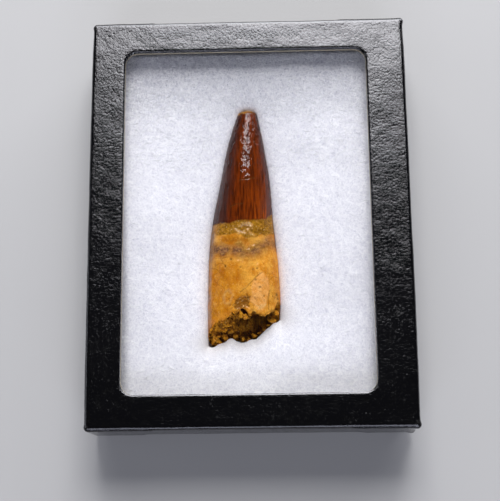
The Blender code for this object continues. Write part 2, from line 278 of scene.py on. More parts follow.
@dataclass
class Body:
    """Points in millimetres, faces and named values gathered for one piece."""

    points: list[Array] = field(default_factory=list)
    faces: Faces = field(default_factory=list)
    values: dict[str, list[Array]] = field(default_factory=dict)
    count: int = 0

    def add(self, points: Array, faces: Faces, **values: Array | float) -> int:
        """Adds a group of points with its faces.

        Args:
            points: Places, three numbers each.
            faces: Point numbers counted from this group's own first point.
            **values: Named numbers, one for each point or one for the whole group.

        Returns:
            The number of the group's first point in the whole body.
        """
        start = self.count
        flat = np.asarray(points, float).reshape(-1, 3)
        self.points.append(flat)
        self.faces.extend([start + index for index in face] for face in faces)
        for name, value in values.items():
            spread = np.full(len(flat), float(value)) if np.ndim(value) == 0 else np.asarray(value, float)
            self.values.setdefault(name, []).append(spread.ravel())
        self.count += len(flat)
        return start

    def add_closed(self, grid: Array, **values: Array) -> None:
        """Adds rows of points as a skin that closes at both ends in a middle point.

        Args:
            grid: Rows of points, each row a closed ring.
            **values: Named numbers, one for each point.
        """
        rows, columns = grid.shape[:2]
        count = rows * columns
        poles = np.array([grid[0].mean(axis=0), grid[-1].mean(axis=0)])
        faces = band_faces(rows, columns)
        faces += fan_faces(range(columns), count) + fan_faces(range(count - columns, count), count + 1)
        ends = {name: np.append(value.ravel(), (value[0, 0], value[-1, 0])) for name, value in values.items()}
        self.add(np.concatenate([grid.reshape(-1, 3), poles]), faces, **ends)

    def make(self, name: str, material: bpy.types.Material, slot: Slot, smooth_angle: float,
             stands_for: Sequence[str] = ()) -> bpy.types.Object:
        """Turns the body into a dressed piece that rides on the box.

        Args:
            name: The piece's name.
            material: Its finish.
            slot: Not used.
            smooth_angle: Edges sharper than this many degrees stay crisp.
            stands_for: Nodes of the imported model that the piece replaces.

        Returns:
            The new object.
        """
        mesh = bpy.data.meshes.new(name)
        mesh.from_pydata((np.concatenate(self.points) * MM).tolist(), [], self.faces)
        for title, parts in self.values.items():
            layer = mesh.attributes.new(title, "FLOAT", "POINT")
            layer.data.foreach_set("value", np.concatenate(parts).astype(np.float32))
        shape = bmesh.new()
        shape.from_mesh(mesh)
        bmesh.ops.recalc_face_normals(shape, faces=shape.faces)
        shape.to_mesh(mesh)
        shape.free()
        mesh.shade_smooth()
        mesh.set_sharp_from_angle(angle=math.radians(smooth_angle))
        mesh.materials.append(material)
        piece = bpy.data.objects.new(name, mesh)
        bpy.context.scene.collection.objects.link(piece)
        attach(piece, "root")
        if stands_for:
            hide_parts(*stands_for)
        log.info("%s: %d faces", name, len(mesh.polygons))
        return piece


@dataclass
class Graph:
    """Places shader nodes in one tree and links them."""

    tree: bpy.types.NodeTree
    material: bpy.types.Material | None = None

    @classmethod
    def of_material(cls, name: str) -> "Graph":
        """Returns the empty graph of a new material with this name."""
        material = bpy.data.materials.new(name)
        material.use_nodes = True
        material.node_tree.nodes.clear()
        return cls(material.node_tree, material)

    def feed(self, socket: Socket, value: Value) -> None:
        """Links a socket to a socket, or sets its plain value.

        Args:
            socket: The input to feed.
            value: An output socket, a number, a colour or a vector.
        """
        if isinstance(value, bpy.types.NodeSocket):
            self.tree.links.new(value, socket)
        elif socket.type == "RGBA":
            socket.default_value = (*value[:3], 1.0)
        else:
            socket.default_value = value

    def node(self, kind: str, inputs: dict[int | str, Value], **settings: str | float) -> bpy.types.Node:
        """Adds a node.

        Args:
            kind: Name of the node's class after ShaderNode.
            inputs: Values or sockets by input name or number.
            **settings: Properties of the node itself.

        Returns:
            The new node.
        """
        node = self.tree.nodes.new("ShaderNode" + kind)
        for name, value in settings.items():
            setattr(node, name, value)
        for key, value in inputs.items():
            self.feed(node.inputs[key], value)
        return node

    def math(self, operation: str, *values: Value) -> Socket:
        """Returns the result of one Math node."""
        return self.node("Math", dict(enumerate(values)), operation=operation).outputs[0]

    def sum(self, *values: Value) -> Socket:
        """Returns the sum of several values."""
        return functools.reduce(lambda total, value: self.math("ADD", total, value), values)

    def times(self, *values: Value) -> Socket:
        """Returns the product of several values."""
        return functools.reduce(lambda total, value: self.math("MULTIPLY", total, value), values)

    def inverse(self, share: Value) -> Socket:
        """Returns what a share leaves of 1."""
        return self.math("SUBTRACT", 1.0, share)

    def vector(self, operation: str, *values: Value) -> Socket:
        """Returns the vector made by one Vector Math node."""
        return self.node("VectorMath", dict(enumerate(values)), operation=operation).outputs[0]

    def rise(self, value: Value, low: float, high: float) -> Socket:
        """Returns 0 below low and 1 above high, with a smooth step between."""
        inputs = {"Value": value, "From Min": low, "From Max": high}
        return self.node("MapRange", inputs, interpolation_type="SMOOTHSTEP").outputs[0]

    def blend(self, factor: Value, start: Value, end: Value) -> Socket:
        """Returns a colour between two colours."""
        return self.node("Mix", {0: factor, 6: start, 7: end}, data_type="RGBA").outputs[2]

    def between(self, factor: Value, start: Value, end: Value) -> Socket:
        """Returns a number between two numbers."""
        return self.node("Mix", {0: factor, 2: start, 3: end}, data_type="FLOAT").outputs[0]

    def coordinates(self) -> Socket:
        """Returns the place on the piece, in metres."""
        return self.node("TexCoord", {}).outputs["Object"]

    def attribute(self, name: str) -> Socket:
        """Returns a value that the mesh holds at its points."""
        return self.node("Attribute", {}, attribute_name=name).outputs["Fac"]

    def noise(self, place: Socket, scale: Value, detail: float = 2.0, roughness: float = 0.5,
              output: int | str = 0) -> Socket:
        """Returns a soft noise, its value or another output."""
        inputs = {"Vector": place, "Scale": scale, "Detail": detail, "Roughness": roughness}
        return self.node("TexNoise", inputs).outputs[output]

    def voronoi(self, place: Socket, scale: Value, feature: str = "F1") -> bpy.types.Node:
        """Adds a texture of cells."""
        return self.node("TexVoronoi", {"Vector": place, "Scale": scale}, feature=feature)

    def bend(self, place: Socket, scale: Value, reach: Value, detail: float = 2.0,
             roughness: float = 0.5) -> Socket:
        """Pushes places about with a noise.

        Args:
            place: The places.
            scale: The noise's scale.
            reach: Twice the distance of the widest push, in metres.
            detail: The noise's detail.
            roughness: The noise's roughness.

        Returns:
            The new places.
        """
        push = self.noise(place, scale, detail, roughness, "Color")
        push = self.vector("SUBTRACT", push, (0.5, 0.5, 0.5))
        push = self.node("VectorMath", {0: push, "Scale": reach}, operation="SCALE").outputs[0]
        return self.vector("ADD", place, push)

    def turn(self, place: Socket, angle: float, stretch: Point) -> Socket:
        """Returns places turned about Z and then stretched."""
        turned = self.node("VectorRotate", {"Vector": place, "Angle": angle}, rotation_type="Z_AXIS")
        return self.vector("MULTIPLY", turned.outputs[0], stretch)

    def line(self, off: Value, width: Value, core: float = 0.0) -> Socket:
        """Returns 1 on a line and over a core share of its width, and 0 past its width."""
        return self.inverse(self.rise(self.math("DIVIDE", off, width), core, 1.0))

    def noise_line(self, noise: Value, width: Value) -> Socket:
        """Returns the line along which a noise passes through its middle value."""
        return self.line(self.math("ABSOLUTE", self.sum(noise, -0.5)), width)

    def surface(self, colour: Value, roughness: Value, height: Value | None = None, reach: float = 0.0,
                **plain: float | tuple) -> bpy.types.Node:
        """Adds the Principled shader and the output.

        Args:
            colour: Base colour.
            roughness: Roughness.
            height: Relief in units of reach, or None for a smooth surface.
            reach: Depth of one unit of relief, in metres.
            **plain: Values of other sockets, with _ for the spaces in their names.

        Returns:
            The shader node.
        """
        shader = self.node("BsdfPrincipled", {"Base Color": colour, "Roughness": roughness})
        for name, value in plain.items():
            self.feed(shader.inputs[name.replace("_", " ")], value)
        if height is not None:
            bump = self.node("Bump", {"Height": height, "Distance": reach, "Strength": 1.0})
            self.feed(shader.inputs["Normal"], bump.outputs["Normal"])
        output = self.node("OutputMaterial", {"Surface": shader.outputs["BSDF"]})
        output.name = "output"
        return shader


class SharedEffect:
    """A shader node group that several finishes place, each with its own values."""

    title: str = ""
    takes: dict[str, float] = {}
    gives: tuple[str, ...] = ()

    def draw(self, graph: Graph, place: Socket, scale: Socket, given: dict[str, Socket]) -> dict[str, Socket]:
        """Adds the group's nodes.

        Args:
            graph: The group's own graph.
            place: Place on the piece, in metres.
            scale: How many of the effect's size fit into a metre.
            given: The group's inputs by name.

        Returns:
            The group's outputs by name.
        """
        raise NotImplementedError

    def tree(self) -> bpy.types.NodeTree:
        """Returns the group, which is built the first time."""
        found = bpy.data.node_groups.get(self.title)
        if found:
            return found
        tree = bpy.data.node_groups.new(self.title, "ShaderNodeTree")
        for name, value in self.takes.items():
            socket = tree.interface.new_socket(name, in_out="INPUT", socket_type="NodeSocketFloat")
            socket.default_value = value
        for name in self.gives:
            tree.interface.new_socket(name, in_out="OUTPUT", socket_type="NodeSocketFloat")
        start, end = tree.nodes.new("NodeGroupInput"), tree.nodes.new("NodeGroupOutput")
        given = {name: start.outputs[name] for name in self.takes}
        graph = Graph(tree)
        scale = graph.math("DIVIDE", 1.0, given["Size"])
        for name, socket in self.draw(graph, graph.coordinates(), scale, given).items():
            tree.links.new(socket, end.inputs[name])
        return tree

    def place(self, graph: Graph, **values: Value) -> dict[str, Socket]:
        """Places the group in a material.

        Args:
            graph: The material's graph.
            **values: Values or sockets by the group's input names.

        Returns:
            The group's outputs by name.
        """
        node = graph.tree.nodes.new("ShaderNodeGroup")
        node.node_tree = self.tree()
        for name, value in values.items():
            graph.feed(node.inputs[name], value)
        return {name: node.outputs[name] for name in self.gives}


class PebbleGrain(SharedEffect):
    """Round pebbles pressed into paper, on broader plates split by wandering crevices."""

    title = "pebble_grain"
    takes = {"Size": 0.65 * MM, "Warp": 0.25, "Plates": 0.40}
    gives = ("Height", "Valley")
    plate_scale, plate_wander, plate_rise = 0.36, 3.4, -2.6
    pebble_crown, pebble_rise = 0.7, -0.85
    grit_scale, grit_rise = 2.4, 0.10
    fine_scale, fine_rise = 6.5, 0.88
    valley_from, valley_to = 0.55, 0.85

    def draw(self, graph: Graph, place: Socket, scale: Socket, given: dict[str, Socket]) -> dict[str, Socket]:
        """Bends fields of cells with noise and adds fine grit."""
        size = given["Size"]
        bent = graph.bend(place, scale, graph.times(size, given["Warp"], 2.0))
        pebble = graph.voronoi(bent, scale).outputs["Distance"]
        far = graph.bend(place, graph.times(scale, 0.5), graph.times(size, self.plate_wander), 3.0, 0.6)
        plate = graph.voronoi(far, graph.times(scale, self.plate_scale)).outputs["Distance"]
        grit = graph.noise(bent, graph.times(scale, self.grit_scale), 2.0, 0.6)
        fine = graph.noise(place, graph.times(scale, self.fine_scale), 1.0)
        height = graph.sum(
            graph.times(pebble, pebble, graph.sum(self.pebble_crown, pebble), self.pebble_rise),
            graph.times(plate, plate, given["Plates"], self.plate_rise),
            graph.times(grit, self.grit_rise),
            graph.times(fine, self.fine_rise),
        )
        low = graph.math("MAXIMUM", pebble, graph.times(plate, 0.95))
        return {"Height": height, "Valley": graph.rise(low, self.valley_from, self.valley_to)}


class PaperCreases(SharedEffect):
    """Long shallow wrinkles where the paper was pulled round the board."""

    title = "paper_creases"
    takes = {"Size": 6.0 * MM, "Width": 0.10}
    gives = ("Height",)
    angle, stretch = 0.65, (0.6, 1.5, 1.0)
    patch_from, patch_to = 0.48, 0.7

    def draw(self, graph: Graph, place: Socket, scale: Socket, given: dict[str, Socket]) -> dict[str, Socket]:
        """Raises the middle line of a slow noise here and there."""
        slow = graph.noise(graph.turn(place, self.angle, self.stretch), scale, 3.0, 0.55)
        where = graph.rise(graph.noise(place, graph.times(scale, 0.5), 1.0), self.patch_from, self.patch_to)
        return {"Height": graph.times(graph.noise_line(slow, given["Width"]), where)}


class RubbedEdge(SharedEffect):
    """Wear that eats into a finish where it meets hands and shelves."""

    title = "rubbed_edge"
    takes = {"Edge": 0.0, "Amount": 0.5, "Size": 1.2 * MM}
    gives = ("Mask",)
    patch_scale, patch_start = 0.12, 0.45
    worn_from, worn_to = 0.92, 1.12

    def draw(self, graph: Graph, place: Socket, scale: Socket, given: dict[str, Socket]) -> dict[str, Socket]:
        """Cuts a ragged border into the distance from the edge."""
        ragged = graph.noise(place, scale, 5.0, 0.7)
        patchy = graph.noise(place, graph.times(scale, self.patch_scale), 1.0)
        strength = graph.times(given["Edge"], given["Amount"], graph.sum(patchy, self.patch_start))
        return {"Mask": graph.rise(graph.sum(strength, ragged), self.worn_from, self.worn_to)}


class Specks(SharedEffect):
    """Scattered specks of dust or pits."""

    title = "specks"
    takes = {"Size": 1.0 * MM, "Cover": 0.3}
    gives = ("Mask",)
    core, border = 0.08, 0.26

    def draw(self, graph: Graph, place: Socket, scale: Socket, given: dict[str, Socket]) -> dict[str, Socket]:
        """Keeps a small round spot in some of many cells."""
        cells = graph.voronoi(place, scale)
        chance = graph.node("SeparateColor", {0: cells.outputs["Color"]}).outputs[0]
        spot = graph.inverse(graph.rise(cells.outputs["Distance"], self.core, self.border))
        return {"Mask": graph.times(graph.math("LESS_THAN", chance, given["Cover"]), spot)}


class FibreTangle(SharedEffect):
    """Fine curved strands that lie across each other."""

    title = "fibre_tangle"
    takes = {"Size": 2.4 * MM, "Width": 0.04}
    gives = ("Height",)
    # How far each layer is turned, in radians, and how much it is stretched.
    layers = ((0.2, 0.6), (0.9, 0.9), (1.6, 0.65), (2.2, 1.0), (2.8, 0.7), (0.5, 1.1), (1.3, 0.8))
    layer_gap = (0.013, 0.021, 0.03)
    layer_drop = 0.07
    patch_scale, patch_from, patch_to = 1.7, 0.40, 0.56

    def draw(self, graph: Graph, place: Socket, scale: Socket, given: dict[str, Socket]) -> dict[str, Socket]:
        """Draws the middle line of slow noise in several layers, breaks it up and keeps the top one."""
        top: Value = 0.0
        patch_scale = graph.times(scale, self.patch_scale)
        for layer, (angle, stretch) in enumerate(self.layers):
            drawn = graph.turn(place, angle, (stretch, 1.25, 0.3))
            moved = graph.vector("ADD", drawn, tuple(layer * gap for gap in self.layer_gap))
            line = graph.noise_line(graph.noise(moved, scale, 1.6), given["Width"])
            where = graph.rise(graph.noise(moved, patch_scale, 1.0), self.patch_from, self.patch_to)
            top = graph.math("MAXIMUM", top, graph.times(line, where, 1.0 - self.layer_drop * layer))
        return {"Height": top}


class Crackle(SharedEffect):
    """A net of fine cracks."""

    title = "crackle"
    takes = {"Size": 2.0 * MM, "Width": 0.06}
    gives = ("Mask",)
    warp, core = 0.9, 0.2
    patch_scale, patch_from, patch_to = 0.4, 0.46, 0.6

    def draw(self, graph: Graph, place: Socket, scale: Socket, given: dict[str, Socket]) -> dict[str, Socket]:
        """Draws the borders of bent cells and breaks them up."""
        bent = graph.bend(place, scale, graph.times(given["Size"], self.warp), 3.0)
        border = graph.voronoi(bent, scale, "DISTANCE_TO_EDGE").outputs["Distance"]
        patches = graph.noise(place, graph.times(scale, self.patch_scale))
        where = graph.rise(patches, self.patch_from, self.patch_to)
        return {"Mask": graph.times(graph.line(border, given["Width"], self.core), where)}


@dataclass(frozen=True)
class EmbossedPaper:
    """Black paper with a pebbled grain, glued over board."""

    name: str
    colour: Colour
    rubbed: Colour
    roughness: float
    wear: float
    grain: float = 0.62 * MM
    relief: float = 0.0212 * MM
    crease: float = 0.22
    rubbed_sink: float = -0.25
    valley_shade: Colour = (0.0009, 0.0009, 0.0011)
    dust_colour: Colour = (0.03, 0.03, 0.03)
    dust_size: float = 1.7 * MM
    dust_cover: float = 0.22
    dust_and_shade_strength: float = 0.5
    board_colour: Colour = paint(170, 158, 134)
    valley_dulling: float = 0.07
    cloud_dulling: float = 0.04
    rubbed_dulling: float = 0.06
    board_dulling: float = 0.5
    gloss: float = 1.0
    sheen: Colour = (0.93, 0.935, 1.0)

    def material(self) -> bpy.types.Material:
        """Returns the new material."""
        graph = Graph.of_material(self.name)
        grain = PebbleGrain().place(graph, Size=self.grain)
        valley = grain["Valley"]
        crease = PaperCreases().place(graph)["Height"]
        rubbed = RubbedEdge().place(graph, Edge=graph.attribute("edge"), Amount=self.wear)["Mask"]
        dust_and_shade = Specks().place(graph, Size=self.dust_size, Cover=self.dust_cover)["Mask"]
        raw = graph.attribute("raw")
        cloudy = graph.noise(graph.coordinates(), 70.0, 3.0)
        # Darker colour in the grain's valleys is painted shade.
        colour = graph.blend(valley, self.colour, self.valley_shade)
        colour = graph.blend(rubbed, colour, self.rubbed)
        colour = graph.blend(graph.times(dust_and_shade, self.dust_and_shade_strength), colour, self.dust_colour)
        colour = graph.blend(raw, colour, self.board_colour)
        roughness = graph.sum(
            self.roughness,
            graph.times(valley, self.valley_dulling),
            graph.times(cloudy, self.cloud_dulling),
            graph.times(rubbed, self.rubbed_dulling),
            graph.times(raw, self.board_dulling),
        )
        height = graph.sum(
            grain["Height"], graph.times(crease, self.crease), graph.times(rubbed, self.rubbed_sink))
        graph.surface(
            colour, roughness, height, self.relief, Specular_IOR_Level=self.gloss, Specular_Tint=self.sheen)
        return graph.material


@dataclass(frozen=True)
class ClearGlass:
    """Thin polished glass with ground edges and a faint haze."""

    name: str = "pane_glass"
    ior: float = 1.52
    tint: Colour = (0.992, 0.994, 1.0)
    depth_tint: Colour = (0.62, 0.92, 0.86)
    density: float = 8.0
    ground: float = 0.35
    haze: float = 0.012

    def material(self) -> bpy.types.Material:
        """Returns the new material, clear to shadow and diffuse rays so that light passes through."""
        graph = Graph.of_material(self.name)
        smear = graph.rise(graph.noise(graph.coordinates(), 55.0, 4.0, 0.6), 0.6, 0.85)
        ground = graph.times(graph.attribute("edge"), self.ground)
        roughness = graph.sum(ground, graph.times(smear, self.haze))
        shader = graph.surface(self.tint, roughness, Transmission_Weight=1.0, IOR=self.ior)
        clear = graph.node("BsdfTransparent", {"Color": self.tint})
        path = graph.node("LightPath", {}).outputs
        passing = graph.math("MAXIMUM", path["Is Shadow Ray"], path["Is Diffuse Ray"])
        both = graph.node("MixShader", {0: passing, 1: shader.outputs[0], 2: clear.outputs[0]})
        output = graph.tree.nodes["output"]
        graph.feed(output.inputs["Surface"], both.outputs[0])
        depth = graph.node("VolumeAbsorption", {"Color": self.depth_tint, "Density": self.density})
        graph.feed(output.inputs["Volume"], depth.outputs[0])
        return graph.material


@dataclass(frozen=True)
class PolyesterFibre:
    """Soft white polyester fibre."""

    name: str
    colour: Colour
    shade: Colour
    relief: float
    glow: float = 0.7
    depth: float = 3.5 * MM
    # Darker gap colour for the top part of the pad near the lid's edge: painted shade of the lid's edge.
    lid_shadow_gap: Colour = (0.44, 0.44, 0.53)
    # Colour and strength of a painted shadow that darkens the pad round the tooth's broken end.
    dust_and_shade: Colour = (0.72, 0.68, 0.67)
    dust_and_shade_strength: float = 0.7
    fine: Place = (1.5 * MM, 0.075)
    coarse: Place = (2.7 * MM, 0.05)
    fine_rise: float = 0.8
    strand_light: float = 0.80
    cloud_light: float = 1.2
    least_light: float = 0.15

    def material(self) -> bpy.types.Material:
        """Returns the new material."""
        graph = Graph.of_material(self.name)
        fine = FibreTangle().place(graph, Size=self.fine[0], Width=self.fine[1])["Height"]
        coarse = FibreTangle().place(graph, Size=self.coarse[0], Width=self.coarse[1])["Height"]
        strands = graph.math("MAXIMUM", graph.times(fine, self.fine_rise), coarse)
        cloudy = graph.noise(graph.coordinates(), 2300.0, 2.0, 0.6)
        clouds = graph.times(graph.sum(cloudy, -0.5), self.cloud_light)
        tone = graph.sum(graph.times(strands, self.strand_light), clouds, self.least_light)
        # Near the lid's top edge the gaps between strands take a darker colour: painted shade of the lid's
        # edge.
        shade = graph.blend(graph.attribute("lid_shadow_zone"), self.shade, self.lid_shadow_gap)
        colour = graph.blend(tone, shade, self.colour)
        # Painted shadow: the pad is darkened round the tooth's broken end, where the tooth would shade it.
        colour = graph.blend(graph.times(graph.attribute("break_shadow"), self.dust_and_shade_strength), colour, self.dust_and_shade)
        graph.surface(
            colour, graph.between(cloudy, 0.75, 0.95), strands, self.relief,
            Subsurface_Weight=self.glow, Subsurface_Scale=self.depth, Subsurface_Radius=(1.0, 1.0, 1.0),
            Specular_IOR_Level=0.3,
        )
        return graph.material


@dataclass(frozen=True)
class Stain:
    """One colouring of the tooth, laid over those before it."""

    mask: str
    light: Colour
    dark: Colour
    mottle: float
    roughness: float
    polish: float
    drawn: float = 1.0


FOSSIL_STAINS = (
    Stain("amber", paint(204, 130, 20), paint(172, 92, 8), 1.6 * MM, 0.50, 0.25, 1.5),
    Stain("flake", paint(242, 176, 102), paint(226, 150, 68), 1.3 * MM, 0.50, 0.25),
    # The two greyish strips along the root's left edge are painted reflection of the white pad on the grazing
    # flank.
    Stain("low_left_reflection", paint(176, 156, 146), paint(136, 112, 98), 0.7 * MM, 0.50, 0.3, 2.0),
    Stain("left_edge_reflection", paint(150, 128, 114), paint(104, 84, 72), 0.9 * MM, 0.45, 0.5, 3.0),
    Stain("stain", paint(152, 106, 70), paint(92, 58, 40), 0.7 * MM, 0.50, 0.35, 0.8),
    Stain("glaze", paint(164, 114, 26), paint(112, 72, 10), 0.6 * MM, 0.45, 0.5),
    Stain("orange", paint(204, 130, 26), paint(176, 100, 12), 1.0 * MM, 0.45, 0.5),
    Stain("ridge", paint(190, 142, 64), paint(150, 98, 34), 0.4 * MM, 0.45, 0.8),
    Stain("crown", paint(114, 43, 2), paint(62, 21, 1), 0.50 * MM, 0.62, 0.68, 10.0),
    Stain("ember", paint(158, 68, 5), paint(78, 26, 2), 0.46 * MM, 0.62, 0.9, 12.0),
    # Painted shade on the flanks of the crown.
    Stain("painted_side_shade", paint(66, 30, 20), paint(40, 18, 13), 0.6 * MM, 0.62, 0.9, 8.0),
    Stain("worn", paint(178, 128, 52), paint(128, 80, 26), 0.5 * MM, 0.60, 0.05),
    Stain("broken", paint(172, 112, 30), paint(84, 48, 12), 0.55 * MM, 0.70, 0.03),
    Stain("spongy", paint(112, 64, 18), paint(50, 24, 7), 0.5 * MM, 0.75, 0.03),
    Stain("ochre", paint(236, 166, 44), paint(164, 96, 20), 0.5 * MM, 0.55, 0.12),
    Stain("hollow", paint(74, 24, 5), paint(22, 6, 1), 0.6 * MM, 0.80, 0.0),
    Stain("pale", paint(226, 202, 146), paint(196, 160, 96), 0.3 * MM, 0.50, 0.2),
    Stain("crack", paint(96, 66, 26), paint(50, 32, 12), 0.3 * MM, 0.60, 0.0),
)


@dataclass(frozen=True)
class FossilTooth:
    """The tooth's enamel, root and broken inside, each stain where the mesh says."""

    name: str = "fossil_tooth"
    light: Colour = paint(230, 164, 64)
    dark: Colour = paint(202, 124, 27)
    speck: Colour = paint(142, 86, 22)
    speck_strength: float = 0.42
    fleck: Colour = paint(236, 184, 98)
    fleck_strength: float = 0.34
    spot: Colour = paint(128, 70, 18)
    spot_strength: float = 0.5
    crack: Colour = paint(120, 70, 22)
    crack_strength: float = 0.35
    roughness: float = 0.50
    scuffing: float = 0.2
    polish: float = 0.35
    relief: float = 0.05 * MM
    gloss: float = 0.0
    polish_roughness: float = 0.08

    def material(self) -> bpy.types.Material:
        """Returns the new material."""
        graph = Graph.of_material(self.name)
        place = graph.coordinates()
        colour = graph.blend(self.mottle(graph, place, 2.2 * MM, 1.3), self.dark, self.light)
        roughness: Value = self.roughness
        polish: Value = self.polish
        masks = {}
        for stain in FOSSIL_STAINS:
            mask = graph.attribute(stain.mask)
            masks[stain.mask] = mask
            tone = self.mottle(graph, place, stain.mottle, stain.drawn)
            colour = graph.blend(mask, colour, graph.blend(tone, stain.dark, stain.light))
            roughness = graph.between(mask, roughness, stain.roughness)
            polish = graph.between(mask, polish, stain.polish)
        bare = graph.inverse(graph.math("MAXIMUM", masks["crown"], masks["broken"]))
        cracks = Crackle().place(graph, Size=2.6 * MM)["Mask"]
        marks = (
            (graph.rise(graph.noise(place, 2600.0, 3.0, 0.7), 0.50, 0.70), self.speck_strength, self.speck),
            (graph.rise(graph.noise(place, 1900.0, 3.0, 0.65), 0.52, 0.72), self.fleck_strength, self.fleck),
            (Specks().place(graph, Size=1.1 * MM, Cover=0.22)["Mask"], self.spot_strength, self.spot),
            (cracks, self.crack_strength, self.crack),
        )
        for mask, strength, mark in marks:
            colour = graph.blend(graph.times(mask, bare, strength), colour, mark)
        scuffs = graph.sum(graph.noise(place, 900.0, 4.0, 0.65), -0.5)
        graph.surface(
            colour, graph.sum(roughness, graph.times(scuffs, self.scuffing)),
            self.height(graph, place, masks, cracks), self.relief, IOR=1.5, Specular_IOR_Level=self.gloss,
            Coat_Weight=polish, Coat_Roughness=self.polish_roughness, Coat_IOR=1.5,
        )
        return graph.material

    def mottle(self, graph: Graph, place: Socket, size: float, drawn: float) -> Socket:
        """Returns a mottled mask, drawn out along the tooth."""
        long = graph.vector("MULTIPLY", place, (1.0, 1.0 / drawn, 1.0))
        return graph.rise(graph.noise(long, 1.0 / size, 4.0, 0.6), 0.34, 0.66)

    def height(self, graph: Graph, place: Socket, masks: dict[str, Socket], cracks: Socket) -> Socket:
        """Draws the fine relief: crinkled enamel, grainy root, crumbly break and cracks.

        Args:
            graph: The material's graph.
            place: Place on the piece.
            masks: Where each stain lies.
            cracks: Where the fine cracks run.

        Returns:
            Heights in units of the finish's relief.
        """
        crinkle = graph.noise(graph.vector("MULTIPLY", place, (1.0, 0.6, 1.0)), 2600.0, 3.0, 0.6)
        grain = graph.noise(place, 1700.0, 5.0, 0.65)
        lumpy = graph.noise(place, 1100.0, 3.0, 0.6)
        crumb = graph.voronoi(place, 2600.0).outputs["Distance"]
        return graph.sum(
            graph.times(crinkle, masks["crown"], 0.22),
            graph.times(grain, graph.inverse(masks["crown"]), 0.7),
            graph.times(lumpy, masks["glaze"], 0.9),
            graph.times(crumb, masks["broken"], -2.4),
            graph.times(cracks, -0.5),
            graph.times(masks["crack"], -0.8),
        )


@dataclass(frozen=True)
class PaleFloor:
    """Matt pale board that the box lies on."""

    name: str = "pale_floor"
    colour: Colour = (0.47, 0.47, 0.48)
    cloud: float = 1.05
    roughness: float = 0.85

    def material(self) -> bpy.types.Material:
        """Returns the new material."""
        graph = Graph.of_material(self.name)
        lighter = tuple(min(1.0, part * self.cloud) for part in self.colour)
        clouds = graph.noise(graph.coordinates(), 6.0, 3.0)
        graph.surface(graph.blend(clouds, self.colour, lighter), self.roughness)
        return graph.material


@dataclass(frozen=True)
class Outline:
    """A level rectangle with round corners whose long sides may bow outwards."""

    width: float
    length: float
    radius: float
    centre: Place = (0.0, 0.0)
    bow: float = 0.0
    corner_steps: int = 8
    short_steps: int = 108
    long_steps: int = 144

    def drawn_in(self, inset: float) -> "Outline":
        """Returns the outline moved in all round by a distance."""
        width, length = self.width - 2 * inset, self.length - 2 * inset
        return replace(self, width=width, length=length, radius=self.radius - inset)

    def ring(self) -> tuple[Array, Array]:
        """Returns the ring's points and its outward directions, anticlockwise from the +X side."""
        half_width, half_length = self.width / 2, self.length / 2
        points, outward = [], []
        for corner in range(4):
            side_x = 1 if corner in (0, 3) else -1
            side_y = 1 if corner in (0, 1) else -1
            centre = np.array((side_x * (half_width - self.radius), side_y * (half_length - self.radius)))
            for step in range(self.corner_steps + 1):
                angle = math.radians(90 * (corner + step / self.corner_steps))
                out = np.array((math.cos(angle), math.sin(angle)))
                points.append(centre + self.radius * out)
                outward.append(out)
            long_side = corner in (1, 3)
            run = 2 * ((half_length if long_side else half_width) - self.radius)
            forward = np.array((-outward[-1][1], outward[-1][0]))
            steps = self.long_steps if long_side else self.short_steps
            start, out = points[-1], outward[-1]
            for step in range(1, steps):
                share = step / steps
                swell = self.bow * math.sin(math.pi * share) if long_side else 0.0
                points.append(start + forward * run * share + out * swell)
                outward.append(out)
        return np.array(points) + np.array(self.centre), np.array(outward)


